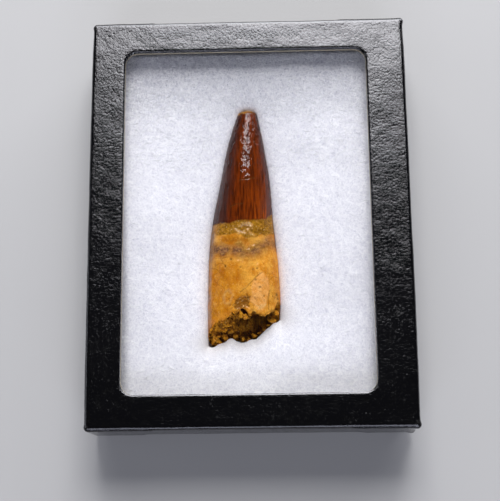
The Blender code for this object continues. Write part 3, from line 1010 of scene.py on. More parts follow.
@dataclass
class SweptBoard:
    """Rings of points that follow a box's profile, each with the way that its surface faces."""

    rings: list[Array] = field(default_factory=list)
    facing: list[Array] = field(default_factory=list)
    edges: list[float] = field(default_factory=list)
    raw: list[float] = field(default_factory=list)

    def put(self, points: Array, outward: Array, height: float, out: float, up: float, edge: float,
            raw: float = 0.0) -> None:
        """Keeps a ring.

        Args:
            points: The ring's points, two numbers each.
            outward: The way out at each point.
            height: The ring's height above the back of the box.
            out: Share of its facing that points away from the box's middle.
            up: Share of its facing that points up.
            edge: How much it is rubbed, from 0 to 1.
            raw: 1 where bare board shows, 0 under paper.
        """
        self.rings.append(np.column_stack([points, np.full(len(points), height)]))
        self.facing.append(np.column_stack([outward * out, np.full(len(points), up)]))
        self.edges.append(edge)
        self.raw.append(raw)

    def add(self, outline: Outline, height: float, out: float, up: float, edge: float = 0.0,
            raw: float = 0.0) -> None:
        """Adds an outline's ring, with what put says of it."""
        self.put(*outline.ring(), height, out, up, edge, raw)

    def add_face(self, start: Outline, end: Outline, heights: Place, facing: Place, steps: int,
                 edges: Place = (0.0, 0.0), reach: Place = (2.2, 2.2)) -> None:
        """Adds the rings of a plain face between two outlines, both left out.

        Args:
            start: Outline that the face starts from.
            end: Outline that it ends at.
            heights: Height of the first outline and of the second.
            facing: Shares of the face's direction that point out and up.
            steps: Number of bands that the face is cut into.
            edges: How much the face is rubbed at its start and at its end.
            reach: Number of bands over which the rubbing fades at each.
        """
        first, outward = start.ring()
        last, _ = end.ring()
        for step in range(1, steps):
            share = step / steps
            rubbed = edges[0] * bell(step / reach[0]) + edges[1] * bell((steps - step) / reach[1])
            self.put(mix(first, last, share), outward, mix(*heights, share), *facing, float(rubbed))

    def add_round(self, outline: Outline, height: float, radius: float, steps: int, edge: float,
                  out: int = 1, up: int = 1, from_side: bool = True) -> None:
        """Adds the rings of a round edge between an upright face and a level one.

        Args:
            outline: Outline of the upright face.
            height: Height of the level face.
            radius: Radius of the edge.
            steps: Number of bands that it is cut into.
            edge: How much it is rubbed.
            out: 1 when the upright face looks out, -1 when it looks at the box's middle.
            up: 1 when the level face looks up, -1 when it looks down.
            from_side: Whether the rings start at the upright face.
        """
        for step in range(steps + 1):
            angle = math.radians(90 * (step if from_side else steps - step) / steps)
            inset, drop = radius * (1 - math.cos(angle)), radius * (1 - math.sin(angle))
            ring = outline.drawn_in(out * inset)
            self.add(ring, height - up * drop, out * math.cos(angle), up * math.sin(angle), edge)

    def grid(self) -> tuple[Array, Array, Array, Array]:
        """Returns the points, their facing, how much each is rubbed and how bare it is."""
        points, facing = np.array(self.rings), np.array(self.facing)
        edges, raw = (
            np.repeat(np.array(part)[:, None], points.shape[1], axis=1) for part in (self.edges, self.raw))
        return points, facing, edges, raw


@dataclass
class Lid:
    """The frame round the window and its skirt, board under black paper."""

    board: float = 1.2
    panel: float = 1.5
    edge_radius: float = 0.9
    corner_radius: float = 1.0
    inner_radius: float = 0.5
    window_width: float = 63.9
    window_length: float = 90.9
    window_centre: Place = (-0.7, 0.2)
    window_radius: float = 3.3
    window_edge: float = 0.45
    bare: float = 0.42
    bare_lip: float = 0.07
    skirt_edge: float = 0.35
    bow: float = 0.25
    warp: float = 0.10
    pucker: float = 0.045
    grit: float = 0.02
    flap: float = 13.0
    flap_lean: float = 0.25
    flap_thickness: float = 0.14
    ear: float = 0.55
    ear_reach: float = 1.1
    left_ears: float = 0.08
    corner_wear: float = 0.9
    frame_bands: int = 15
    skirt_bands: int = 22
    finish: EmbossedPaper = EmbossedPaper(
        "lid_paper", (0.0018, 0.0018, 0.0024), (0.024, 0.024, 0.024), 0.10, 0.30)

    def __post_init__(self) -> None:
        """Reads the lid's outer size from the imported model."""
        low, high = packed_box("lid")
        self.width, self.length = high[0] - low[0] - 2 * self.bow, high[1] - low[1]
        self.bottom, self.top = low[2], high[2]

    def sweep(self) -> SweptBoard:
        """Follows the profile from the window's wall over the frame and the skirt to the inside.

        Returns:
            The profile's rings.
        """
        shell = SweptBoard()
        outer = Outline(self.width, self.length, self.corner_radius, bow=self.bow)
        window = Outline(self.window_width, self.window_length, self.window_radius, self.window_centre)
        under, low, high = self.top - self.panel, self.bottom + self.skirt_edge, self.top - self.edge_radius
        core = window.drawn_in(self.bare_lip)
        for height in (under, under + 0.9 * self.bare):
            shell.add(core, height, -1.0, 0.0, raw=1.0)
        shell.add(window.drawn_in(0.4 * self.bare_lip), under + self.bare, -0.5, 0.5, raw=1.0)
        shell.add(window, under + 1.1 * self.bare, -1.0, 0.0)
        shell.add_round(window, self.top, self.window_edge, 4, 0.8, out=-1)
        lip, brow = window.drawn_in(-self.window_edge), outer.drawn_in(self.edge_radius)
        shell.add_face(lip, brow, (self.top, self.top), (0.0, 1.0), self.frame_bands, (0.5, 0.8))
        shell.add_round(outer, self.top, self.edge_radius, 7, 1.0, from_side=False)
        shell.add_face(outer, outer, (high, low), (1.0, 0.0), self.skirt_bands, (0.8, 0.8), (2.2, 1.6))
        shell.add_round(outer, self.bottom, self.skirt_edge, 4, 0.9, up=-1)
        inner = replace(outer.drawn_in(self.board), radius=self.inner_radius)
        for share in (0.0, 0.02, 0.2, 0.4, 0.6, 0.8, 1.0):
            shell.add(inner, mix(self.bottom, under, share), -1.0, 0.0)
        shell.add_face(inner, core, (under, under), (0.0, -1.0), 6)
        return shell

    def relief(self, points: Array, facing: Array) -> Array:
        """Works out how far the paper stands off the plain profile.

        Args:
            points: Places on the profile.
            facing: The way that each faces.

        Returns:
            Heights, 0 where the lid isn't seen.
        """
        z, up = points[..., 2], facing[..., 2]
        in_x, in_y = self.width / 2 - np.abs(points[..., 0]), self.length / 2 - np.abs(points[..., 1])
        board_end = in_y < self.board
        shown = (up > -0.5) & ((up > 0.5) | (in_x < self.board) | board_end)
        amount = self.warp * drift(points, 21, 3) + self.pucker * drift(points, (5, 5, 3), 4)
        amount += self.grit * drift(points, 1.9, 5)
        slanted = self.flap + self.flap_lean * (z - self.bottom) + 0.4 * drift(points, 3, 6)
        amount += self.flap_thickness * smooth_step((slanted - in_x) / 0.5) * board_end * (up < 0.5)
        tucked = bell((z - self.bottom - 0.6) / 1.5) + 0.5 * bell((z - self.top + 1.2) / 0.9)
        side = np.where(points[..., 0] > 0, 1.0, self.left_ears)
        amount += self.ear * side * tucked * bell(np.hypot(in_x, in_y) / self.ear_reach) * (up < 0.9)
        return amount * shown

    def make(self) -> bpy.types.Object:
        """Builds the lid.

        Returns:
            The piece.
        """
        points, facing, edges, raw = self.sweep().grid()
        points = points + facing * (self.relief(points, facing) * (1 - raw))[..., None]
        x, y = np.abs(points[..., 0]), np.abs(points[..., 1])
        corner = bell(np.hypot(self.width / 2 - x, self.length / 2 - y) / 3.0)
        edges = edges * (0.75 + self.corner_wear * corner)
        body = Body()
        body.add(points, band_faces(*points.shape[:2], wrap_rows=True), edge=edges, raw=raw)
        return body.make("lid_wrapped", self.finish.material(), Slot.LID, 50, ["lid"])


@dataclass
class Tray:
    """The open lower box, of which the foot and the back show."""

    board: float = 1.0
    corner_radius: float = 1.2
    foot_radius: float = 0.5
    rim_radius: float = 0.3
    middle_radius: float = 0.1
    bow: float = 0.25
    sag: float = 0.10
    pucker: float = 0.035
    label_margin: float = 12.0
    label_sink: float = 0.10
    back_bands: int = 40
    wall_bands: int = 16
    finish: EmbossedPaper = EmbossedPaper(
        "tray_paper", (0.0035, 0.0035, 0.0040), (0.050, 0.048, 0.046), 0.15, 0.45)

    def __post_init__(self) -> None:
        """Reads the tray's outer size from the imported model."""
        low, high = packed_box("tray")
        self.width, self.length = high[0] - low[0] - 2 * self.bow, high[1] - low[1]
        self.rim = high[2]

    def sweep(self) -> SweptBoard:
        """Follows the profile from the middle of the back, up the walls and down to the floor inside.

        Returns:
            The profile's rings.
        """
        shell = SweptBoard()
        outer = Outline(self.width, self.length, self.corner_radius, bow=self.bow)
        inner = outer.drawn_in(self.board)
        back = Outline(self.width * 0.02, self.length * 0.02, self.middle_radius)
        floor = Outline(self.width * 0.5, self.length * 0.5, self.middle_radius)
        foot = outer.drawn_in(self.foot_radius)
        shell.add(back, 0.0, 0.0, -1.0)
        shell.add_face(back, foot, (0.0, 0.0), (0.0, -1.0), self.back_bands, (0.0, 0.9), (2.0, 2.0))
        shell.add_round(outer, 0.0, self.foot_radius, 5, 1.0, up=-1, from_side=False)
        wall = (self.foot_radius, self.rim - self.rim_radius)
        shell.add_face(outer, outer, wall, (1.0, 0.0), self.wall_bands, (0.7, 0.0), (2.0, 2.0))
        shell.add_round(outer, self.rim, self.rim_radius, 3, 0.6)
        for height in (self.rim, 0.5 * self.rim, self.board):
            shell.add(inner, height, -1.0, 0.0)
        shell.add_face(inner, floor, (self.board, self.board), (0.0, 1.0), 3)
        return shell

    def relief(self, points: Array, facing: Array) -> Array:
        """Works out how far the paper stands off: inwards only on the back, so that the box lies flat.

        Args:
            points: Places on the profile.
            facing: The way that each faces.

        Returns:
            Heights.
        """
        back, wall = facing[..., 2] < -0.9, facing[..., 2] > -0.5
        x, y, z = np.abs(points[..., 0]), np.abs(points[..., 1]), points[..., 2]
        in_from_edge = np.minimum(self.width / 2 - x, self.length / 2 - y)
        dish = ramp(in_from_edge, 1, 10)
        sink = self.sag * (0.7 + 0.3 * drift(points, 24, 13)) * dish
        sink += self.pucker * (1 + drift(points, 4, 14)) * ramp(in_from_edge, 0, 2)
        seam = smooth_step((x - (self.width / 2 - self.label_margin) - 0.3 * drift(points, 5, 15)) / 0.6)
        sink += self.label_sink * (1 - seam) * dish
        foot = ramp(z, 0, 0.6) * ramp(z, 3.4, 2.6)
        return wall * foot * self.pucker * drift(points, 4, 16) - back * sink

    def make(self) -> bpy.types.Object:
        """Builds the tray.

        Returns:
            The piece.
        """
        points, facing, edges, raw = self.sweep().grid()
        body = Body()
        body.add_closed(points + facing * self.relief(points, facing)[..., None], edge=edges, raw=raw)
        return body.make("tray_wrapped", self.finish.material(), Slot.TRAY, 50, ["tray"])


@dataclass
class Pane:
    """The sheet of glass under the frame."""

    corner_radius: float = 0.8
    arris: float = 0.25
    finish: ClearGlass = ClearGlass()

    def make(self) -> bpy.types.Object:
        """Builds the pane with ground arrises.

        Returns:
            The piece.
        """
        low, high = packed_box("glass")
        size = Outline(*(high - low)[:2], self.corner_radius, corner_steps=6, short_steps=8, long_steps=10)
        # For each level: depth below the face, how far it is drawn in, and how much it is ground.
        half = ((0.0, self.arris, 0.0), (0.35 * self.arris, 0.3 * self.arris, 1.0), (self.arris, 0.0, 1.0))
        levels = [(low[2] + depth, inset, edge) for depth, inset, edge in half]
        levels += [(high[2] - depth, inset, edge) for depth, inset, edge in reversed(half)]
        shell = SweptBoard()
        for height, inset, edge in levels:
            shell.add(size.drawn_in(inset), height, 1.0, 0.0, edge)
        grid, _, edges, _ = shell.grid()
        rows, columns = grid.shape[:2]
        faces = band_faces(rows, columns)
        faces += [list(range(columns)), list(range((rows - 1) * columns, rows * columns))]
        body = Body()
        body.add(grid, faces, edge=edges)
        return body.make("glass_pane", self.finish.material(), Slot.PANE, 20, ["glass"])


@dataclass(frozen=True)
class Station:
    """The tooth's cross-section at one place along it, in millimetres."""

    along: float
    centre: float
    width: float
    thickness: float
    crest: float


TOOTH_STATIONS = (
    Station(30.9, -0.4, 4.75, 4.2, 12.5),
    Station(28.9, -0.55, 5.75, 5.2, 13.0),
    Station(20.9, -1.0, 9.65, 8.2, 14.0),
    Station(10.8, -1.25, 13.1, 10.6, 14.7),
    Station(0.9, -1.9, 15.8, 11.9, 14.8),
    Station(-5.7, -2.0, 17.4, 12.1, 14.75),
    Station(-18.5, -1.8, 18.8, 12.2, 14.8),
    Station(-33.0, -2.0, 18.4, 12.0, 14.6),
)

# Degrees round the root from +X towards the glass, and where its wall ends along Y in millimetres.
BREAK_LINE = (
    (0, -23.1), (14, -22.1), (25, -21.2), (34, -23.3), (47, -24.5), (57, -25.5), (71, -24.7), (83, -24.1),
    (92, -23.3), (101, -24.6), (120, -26.3), (151, -27.8), (178, -30.4), (202, -31.6), (231, -31.1),
    (242, -29.9), (253, -28.8), (267, -30.1), (286, -29.2), (304, -27.2), (320, -25.7), (343, -24.5),
)

# Low lumps and dents of the front: place, half-size and height in millimetres.
TOOTH_LUMPS = (
    (-1.2, -4.6, 2.6, 1.2, 0.40),
    (-5.6, -4.0, 2.4, 1.5, 0.25),
    (3.6, -5.6, 2.6, 1.4, 0.22),
    (0.4, -2.0, 3.4, 1.0, 0.20),
    (-1.9, -21.6, 1.8, 1.5, -0.45),
    (2.4, -17.0, 2.6, 5.0, 0.30),
    (-8.2, -27.0, 1.6, 1.8, 0.35),
)

# Lines on the front of the tooth, in millimetres across and along it.
CROWN_LINE = ((-9.8, -0.36), (-8.1, -0.41), (-5.4, -0.84), (-3.6, -0.31), (-2.3, -0.18), (0.0, -0.09),
              (1.95, 0.08), (4.2, 0.53), (5.4, 2.13), (6.2, 2.6))
GLAZE_END = ((-9.8, -2.7), (-7.05, -3.9), (-2.85, -3.9), (-1.0, -5.1), (1.5, -4.7), (5.7, -3.0))
STAIN_MIDDLE = ((-9.5, -7.2), (-6.5, -7.7), (-3.4, -8.2), (-0.3, -8.8), (1.5, -7.9), (3.3, -6.7), (5.6, -5.5))
RIDGE_LINES = (
    ((-3.6, -6.3), (-2.35, -6.1), (-1.3, -7.6)),
    ((-1.82, -8.04), (-0.15, -8.14), (1.07, -7.02), (2.5, -5.7)),
    ((-3.93, -2.66), (-2.74, -3.71), (-0.8, -3.36), (0.41, -1.83)),
    ((-0.79, -2.85), (1.1, -4.42)),
)
CROWN_CRACKS = (
    ((-2.74, 10.6), (-0.9, 11.07), (1.46, 11.4)),
    ((-5.16, 3.5), (-3.57, 4.31), (-1.74, 4.36)),
)
ROOT_CRACKS = (
    ((-2.5, -19.0), (-0.9, -17.7), (0.5, -16.3), (1.4, -15.2), (3.0, -14.0)),
    ((4.89, -18.5), (4.4, -20.9), (4.61, -23.5)),
)
ROOT_SCRATCHES = (
    ((1.3, -22.4), (2.6, -23.3), (3.9, -22.1)),
    ((2.85, -22.3), (1.9, -23.6)),
)
# Pores of the root: place and size.
PORES = (
    (1.7, -12.95, 0.20), (0.67, -13.1, 0.16), (6.6, -19.4, 0.30), (6.95, -20.4, 0.25), (1.3, -15.9, 0.24),
    (2.4, -17.9, 0.22), (-6.4, -12.2, 0.25), (-2.6, -12.6, 0.15), (-4.9, -10.4, 0.22), (3.4, -20.1, 0.18),
)


@dataclass(frozen=True)
class Unevenness:
    """One layer of smooth unevenness on a part of the tooth's skin, in millimetres."""

    part: str
    height: float
    size: float | Point
    seed: int


SKIN_LAYERS = (
    Unevenness("low_root", 0.13, 3.2, 23),
    Unevenness("root", 0.07, (1.3, 1.8, 1.3), 24),
    Unevenness("root", 0.03, 0.55, 25),
    Unevenness("crinkled_crown", 0.060, (0.46, 0.55, 0.46), 29),
    Unevenness("crown", 0.020, 0.9, 35),
    Unevenness("crown", 0.04, (3.0, 6.0, 3.0), 30),
    Unevenness("crown_side", 0.07, 0.8, 33),
)


def line_at(line: Sequence[Place], x: Array) -> Array:
    """Returns the Y of a line across the tooth."""
    return np.interp(x, *np.array(line).T)


def pore_bells(x: Array, y: Array, spread: float = 1.0) -> Array:
    """Returns 1 in the middle of each pore, falling away round it, one field of values for each pore."""
    reach = [np.hypot(x - pore_x, y - pore_y) / size for pore_x, pore_y, size in PORES]
    return bell(np.array(reach) / spread)


@dataclass
class Tooth:
    """Crown, root, worn tip and broken end with its open pulp hollow."""

    crown_base: float = -0.2
    enamel_ledge: float = 0.15
    tip_slant: float = 0.12
    tip_dome: float = 0.22
    tip_rings: tuple[float, ...] = (0.06, 0.2, 0.36, 0.52, 0.68, 0.82, 0.93)
    root_squareness: float = 2.3
    break_mean: float = -27.0
    break_reach: float = 0.42
    break_radius: float = 9.0
    sides: int = 256
    rows: int = 250
    break_rows: int = 62
    flutes: int = 64
    flute_depth: float = 0.007
    tip_round: float = 1.15
    tip_wear: float = 0.60
    hollow_depth: float = 6.8
    pocket_depth: float = 2.4
    chip: Point = (5.9, 4.6, 9.6)
    chip_size: float = 0.55
    # Ovals, each with its middle and its half-sizes: four on the front and two on the broken end.
    ring_mark: tuple[Place, Place] = ((-5.85, -20.35), (1.15, 1.65))
    pitted_patch: tuple[Place, Place] = ((-2.0, -22.0), (2.5, 2.1))
    flake: tuple[Place, Place] = ((2.3, -18.8), (2.5, 5.2))
    orange_spot: tuple[Place, Place] = ((-5.0, -5.2), (2.3, 1.35))
    pulp_hollow: tuple[Place, Place] = ((0.8, 8.6), (4.4, 3.3))
    pocket: tuple[Place, Place] = ((-2.0, 13.3), (1.5, 0.9))
    finish: FossilTooth = FossilTooth()

    def __post_init__(self) -> None:
        """Turns the stations and the broken line into tables."""
        self.table = np.array([
            (one.along, one.centre, one.width, one.thickness, one.crest) for one in TOOTH_STATIONS])
        index, last = np.arange(len(self.table)), len(self.table) - 1
        runs = self.table[np.minimum(index + 1, last)] - self.table[np.maximum(index - 1, 0)]
        self.slopes = runs[:, 1:] / runs[:, :1]
        degrees, ends = np.array(BREAK_LINE).T
        self.break_degrees, self.break_ends = np.append(degrees, 360.0), np.append(ends, ends[0])
        self.tip, self.root = self.table[0, 0], self.table[-1, 0]

    def section(self, along: Array) -> tuple[Array, Array, Array, Array]:
        """Returns the cross-section at places along the tooth, before its tip was worn.

        Args:
            along: Places along Y.

        Returns:
            Middle in X, half-width, half-thickness and height of the middle.
        """
        along = np.clip(along, self.root, self.tip)
        index = np.searchsorted(-self.table[:, 0], -along, side="right") - 1
        index = np.clip(index, 0, len(self.table) - 2)
        start, end = self.table[index], self.table[index + 1]
        run = end[..., :1] - start[..., :1]
        share = (along[..., None] - start[..., :1]) / run
        square, cube = share ** 2, share ** 3
        values = (
            (2 * cube - 3 * square + 1) * start[..., 1:]
            + (cube - 2 * square + share) * run * self.slopes[index]
            + (3 * square - 2 * cube) * end[..., 1:]
            + (cube - square) * run * self.slopes[index + 1]
        )
        centre, width, thickness, crest = np.moveaxis(values, -1, 0)
        return centre, width / 2, thickness / 2, crest - thickness / 2

    def crown(self, points: Array, blur: float) -> Array:
        """Returns where enamel covers the tooth, down to its ragged end.

        Args:
            points: Places on the tooth.
            blur: Distance over which the enamel ends.

        Returns:
            Values from 0 to 1.
        """
        edge = line_at(CROWN_LINE, points[..., 0])
        edge += 0.22 * drift(points, 1.1, 21) + 0.12 * drift(points, 0.4, 22)
        return smooth_step((points[..., 1] - edge) / blur + 0.5)

    def glaze(self, points: Array) -> Array:
        """Returns where the mustard glaze lies between crown and root."""
        end = line_at(GLAZE_END, points[..., 0]) + 0.5 * drift(points, 1.4, 41)
        return smooth_step((points[..., 1] - end) / 0.5 + 0.5)

    def painted_side_shade(self, points: Array) -> Array:
        """Returns where shade is painted on the enamel: the left third and a strip along the right."""
        centre, half_width, _, _ = self.section(points[..., 1])
        across = (points[..., 0] - centre) / half_width + 0.10 * drift(points, (1.2, 5, 1.2), 43)
        return 0.9 * ramp(across, -0.30, -0.65) + 0.7 * ramp(across, 0.72, 0.92)

    def pitted(self, points: Array) -> Array:
        """Returns where dark matter fills the pitted patch of the root."""
        ragged = 0.55 * (drift(points, 0.9, 42) + drift(points, 0.4, 44))
        return ramp(oval(points[..., 0], points[..., 1], *self.pitted_patch) - ragged, 0.95, 0.60)

    def ring(self, points: Array) -> Array:
        """Returns 0 in the middle of the round mark and 1 on its ring."""
        return oval(points[..., 0], points[..., 1], *self.ring_mark) + 0.25 * drift(points, 0.9, 36)

    def relief(self, points: Array, up: Array, degrees: Array) -> Array:
        """Returns how far the skin stands off the plain form.

        Args:
            points: Places on the plain form.
            up: How far each faces the glass, from -1 to 1.
            degrees: Angle of each round the tooth.

        Returns:
            Heights.
        """
        x, y = points[..., 0], points[..., 1]
        front, crown = ramp(up, 0, 0.3), self.crown(points, 0.3)
        height = self.enamel_ledge * crown
        for lump_x, lump_y, half_x, half_y, rise in TOOTH_LUMPS:
            height += rise * bell(oval(x, y, (lump_x, lump_y), (half_x, half_y))) * np.clip(up, 0, 1)
        parts = {
            "low_root": ramp(y, self.crown_base, self.crown_base - 6),
            "root": 1 - crown,
            "crown": crown,
            "crinkled_crown": crown * ramp(y, 8, 24),
            "crown_side": crown * (1 - np.abs(up)) ** 2,
        }
        for layer in SKIN_LAYERS:
            height += layer.height * drift(points, layer.size, layer.seed) * parts[layer.part]

        clots, _ = pebbles(points, 0.7, 26)
        veins = np.clip(1 - np.abs(drift(points, 0.75, 27)) / 0.16, 0, 1)
        height += self.glaze(points) * (1 - crown) * (0.022 * (0.75 - clots) + 0.034 * veins)

        flute = np.cos(np.radians(degrees) * self.flutes + 1.21 * drift(points, (4, 9, 4), 28))
        fade = ramp(y, -1, 3) * ramp(y, 27, 13) * crown
        height += self.flute_depth * flute * fade * (0.45 + 0.55 * ramp(x, -5, 1))
        height -= 0.35 * bell(np.linalg.norm(points - self.chip, axis=-1) / self.chip_size)

        ring = self.ring(points)
        holes, _ = pebbles(points, 0.7, 32)
        marks = (
            -0.03 * line_bells(x, y, CROWN_CRACKS, 0.16).sum(axis=0),
            -0.05 * line_bells(x, y, ROOT_CRACKS, 0.16, 0.16 * drift(points, 0.6, 34)).sum(axis=0),
            0.12 * line_bells(x, y, RIDGE_LINES, 0.26, 0.25 * drift(points, 0.8, 31)).sum(axis=0),
            -0.10 * pore_bells(x, y).sum(axis=0),
            0.06 * bell((ring - 1.0) / 0.25) - 0.05 * bell(ring / 0.6),
            self.pitted(points) * (0.30 * (0.55 - holes) - 0.10),
        )
        return height + sum(marks) * front

    def skin(self, degrees: Array, along: Array) -> tuple[Array, Array]:
        """Returns points of the tooth's side and how far each faces the glass.

        Args:
            degrees: Angles round the tooth from +X towards the glass.
            along: Places along Y.

        Returns:
            The points, and values from -1 to 1.
        """
        centre, half_width, half_thickness, middle = self.section(along)
        to_tip = np.clip((self.tip - along) / self.tip_round, 0.0, 1.0)
        worn = 1 - self.tip_wear * (1 - np.sqrt(1 - (1 - to_tip) ** 2))
        half_width, half_thickness = half_width * worn, half_thickness * worn
        square = mix(2.0, self.root_squareness, ramp(along, self.crown_base, self.crown_base - 12))
        cosine, sine = np.cos(np.radians(degrees)), np.sin(np.radians(degrees))
        across = np.copysign(np.abs(cosine) ** (2 / square), cosine)
        up = np.copysign(np.abs(sine) ** (2 / square), sine)
        plain = np.stack([centre + half_width * across, along, middle + half_thickness * up], axis=-1)
        height = self.relief(plain, up, degrees)
        plain[..., 0] += height * across
        plain[..., 2] += height * up
        return plain, up

    def break_end(self, degrees: Array) -> Array:
        """Returns the ragged Y where the root's wall ends.

        Args:
            degrees: Angles round the tooth.

        Returns:
            One value for each angle.
        """
        line = np.interp(degrees % 360, self.break_degrees, self.break_ends)
        turn = np.radians(degrees)
        around = np.stack([np.cos(turn), np.sin(turn), np.zeros_like(turn)], axis=-1) * self.break_radius
        steps, _ = pebbles(around, 0.9, 50)
        return line + 0.45 * drift(around, 1.1, 51) + 0.28 * drift(around, 0.5, 52) + 0.35 * (0.55 - steps)

    def side_grid(self) -> tuple[Array, Array]:
        """Lays out the side of the tooth.

        Returns:
            The rows of points from tip to break, and how far each point faces the glass.
        """
        share = np.linspace(0, 1, self.rows + 1)[:, None]
        degrees = np.broadcast_to(360 * np.arange(self.sides) / self.sides, (self.rows + 1, self.sides))
        lean = ramp(share, 1 - self.break_reach, 1)
        along = mix(self.tip, self.break_mean, share) + (self.break_end(degrees) - self.break_mean) * lean
        along = along + self.tip_slant * np.cos(np.radians(degrees)) * ramp(share, 0.08, 0)
        return self.skin(degrees, along)

    def tip_grid(self, first: Array) -> Array:
        """Lays out the worn tip.

        Args:
            first: The first row of the side.

        Returns:
            The rows from the tip's middle out to that row.
        """
        middle = first.mean(axis=0)
        rows = []
        for share in self.tip_rings:
            ring = mix(middle, first, share)
            ring[:, 1] += self.tip_dome * (1 - share ** 2.4)
            ring[:, 1] += 0.09 * drift(ring, 0.6, 53) * (1 - share ** 4)
            rows.append(ring)
        return np.array(rows)

    def break_grid(self, rim: Array) -> tuple[Array, Array]:
        """Lays out the broken face.

        Args:
            rim: The last row of the side.

        Returns:
            The rows from the rim to the bottom of the pulp hollow, and how deep in the hollow each point is,
            from 0 to 1.
        """
        middle = rim.mean(axis=0)
        level = np.column_stack([rim[:, 0], rim[:, 2], np.ones(len(rim))])
        tilt, *_ = np.linalg.lstsq(level, rim[:, 1], rcond=None)
        share = (1 - np.linspace(0, 1, self.break_rows + 1)[1:] ** 0.9 * 0.985)[:, None]
        x, z = mix(middle[0], rim[:, 0], share), mix(middle[2], rim[:, 2], share)
        y = mix(tilt[0] * x + tilt[1] * z + tilt[2], rim[:, 1], share ** 3)
        points = np.stack([x, y, z], axis=-1)
        hollow = ramp(oval(x, z, *self.pulp_hollow) - 0.34 * drift(points, 1.5, 54), 1.12, 0.67)
        pocket = bell(oval(x, z, *self.pocket))
        lumps, tone = pebbles(points, 1.3, 55)
        crumbs, step = pebbles(points, 0.62, 56)
        rough = (
            0.6 * drift(points, 2.4, 57)
            - 0.9 * (0.6 - lumps) - 1.1 * (tone - 0.5)
            - 0.35 * (0.5 - crumbs) - 0.45 * (step - 0.5)
        )
        points[..., 1] += self.hollow_depth * hollow + self.pocket_depth * pocket
        points[..., 1] += rough * ramp(share, 1, 0.96)
        return points, np.clip(hollow + 0.8 * pocket, 0, 1)

    def stains(self, points: Array, up: Array) -> dict[str, Array]:
        """Returns where each stain lies on the side of the tooth.

        Args:
            points: Rows of the side.
            up: How far each point faces the glass, from -1 to 1.

        Returns:
            Values from 0 to 1 by the stain's name.
        """
        x, y = points[..., 0], points[..., 1]
        front, crown = ramp(up, 0, 0.3), self.crown(points, 0.25)
        root = 1 - crown
        centre, half_width, _, _ = self.section(y)
        across = (x - centre) / half_width
        left, brink = ramp(across, -0.72, -0.92), ramp(across, -0.86, -0.94) * ramp(y, -31, -26)
        band = bell((y - line_at(STAIN_MIDDLE, x) - 0.6 * drift(points, 1.8, 61)) / 2.0)
        band = 1.2 * band * (0.72 + 0.28 * drift(points, 1.0, 62))
        flake = oval(x, y, *self.flake) + 0.22 * drift(points, 1.5, 63)
        orange = oval(x, y, *self.orange_spot) + 0.35 * drift(points, 1.0, 64)
        glaze, pitted = self.glaze(points) * root, self.pitted(points)
        pebble, tone = pebbles(points, 0.55, 65)
        flecks = ramp(pebble, 0.34, 0.19) * (tone > 0.72)
        cracks = 0.6 * line_bells(x, y, CROWN_CRACKS + ROOT_CRACKS, 0.13).max(axis=0)
        pale = (
            0.6 * line_bells(x, y, ROOT_SCRATCHES, 0.13).max(axis=0),
            0.25 * bell((self.ring(points) - 1.0) / 0.25),
            flecks * (glaze * 0.8 + pitted * 0.9),
        )
        return {
            "crown": crown,
            "ember": crown * ramp(x, -2.5, 1.5) * ramp(y, 13, -1),
            "painted_side_shade": crown * self.painted_side_shade(points),
            "worn": self.worn(points),
            "glaze": glaze * (1 - 0.6 * left),
            "orange": ramp(orange, 1.1, 0.8) * front * 0.9,
            "stain": np.clip(band, 0, 1) * root,
            "flake": ramp(flake, 1.05, 0.80) * front * 0.85,
            # Greyish strips along the left edge of the root: painted reflection of the white pad on the grazing
            # flank.
            "low_left_reflection": brink * root * (0.60 + 0.25 * drift(points, 2.2, 68)),
            "left_edge_reflection": left * (0.55 + 0.45 * drift(points, 1.6, 66)) * ramp(y, -14, -8),
            "amber": ramp(x, 1.5, -5.5) * ramp(y, -9.5, -14.5) * (0.75 + 0.25 * drift(points, 2.5, 67)),
            "ridge": line_bells(x, y, RIDGE_LINES, 0.42).max(axis=0) * front * 0.8,
            "crack": np.maximum(cracks, pore_bells(x, y, 1 / 0.9).max(axis=0)) * front,
            "pale": np.maximum.reduce(pale) * front,
            "spongy": np.maximum(pitted * front * 0.75, 0.7 * self.rim_stains(points)),
        }

    def worn(self, points: Array) -> Array:
        """Returns where the enamel is worn through round the tip, further down on the left."""
        edge = bell(np.arange(len(points)) / 3.0)[:, None]
        low = ramp(points[..., 0] - self.section(points[..., 1])[0], 0.4, -0.4)
        reach = points[..., 1] - self.tip + 0.35 + 0.75 * low
        return np.maximum(edge, smooth_step(reach / 0.3 + drift(points, 0.5, 69)))

    def rim_stains(self, points: Array) -> Array:
        """Returns where dark matter runs up the skin beside the broken edge."""
        centre, half_width, half_thickness, middle = self.section(points[..., 1])
        up, across = (points[..., 2] - middle) / half_thickness, (points[..., 0] - centre) / half_width
        above = points[..., 1] - self.break_end(np.degrees(np.arctan2(up, across)) % 360)
        return bell((above - 0.1) / 0.55) * ramp(drift(points, 1.3, 68), -0.45, 0.05)

    def broken_stains(self, points: Array, hollow: Array) -> dict[str, Array]:
        """Returns where each stain lies on the broken face.

        Args:
            points: Rows of the face, from its rim inwards.
            hollow: How deep in the pulp hollow each point is, from 0 to 1.

        Returns:
            Values from 0 to 1 by the stain's name.
        """
        x, z = points[..., 0], points[..., 2]
        left = smooth_step((-3.4 - x + 1.1 * drift(points, 1.2, 72)) / 1.4)
        fringe = smooth_step((8.5 + 0.28 * np.abs(x + 1) - z + 0.8 * drift(points, 1.1, 73)) / 0.9)
        fringe = fringe * (1 - smooth_step(hollow * 1.4))
        rim = bell(np.arange(len(points)) / 5.0)[:, None] * smooth_step(drift(points, 0.9, 74) + 1.2)
        lumps, tone = pebbles(points, 0.8, 71)
        ochre = (
            left * (0.45 + 0.55 * (tone > 0.25)),
            0.95 * fringe,
            0.95 * rim,
            0.8 * (tone > 0.8) * ramp(lumps, 0.45, 0.30),
        )
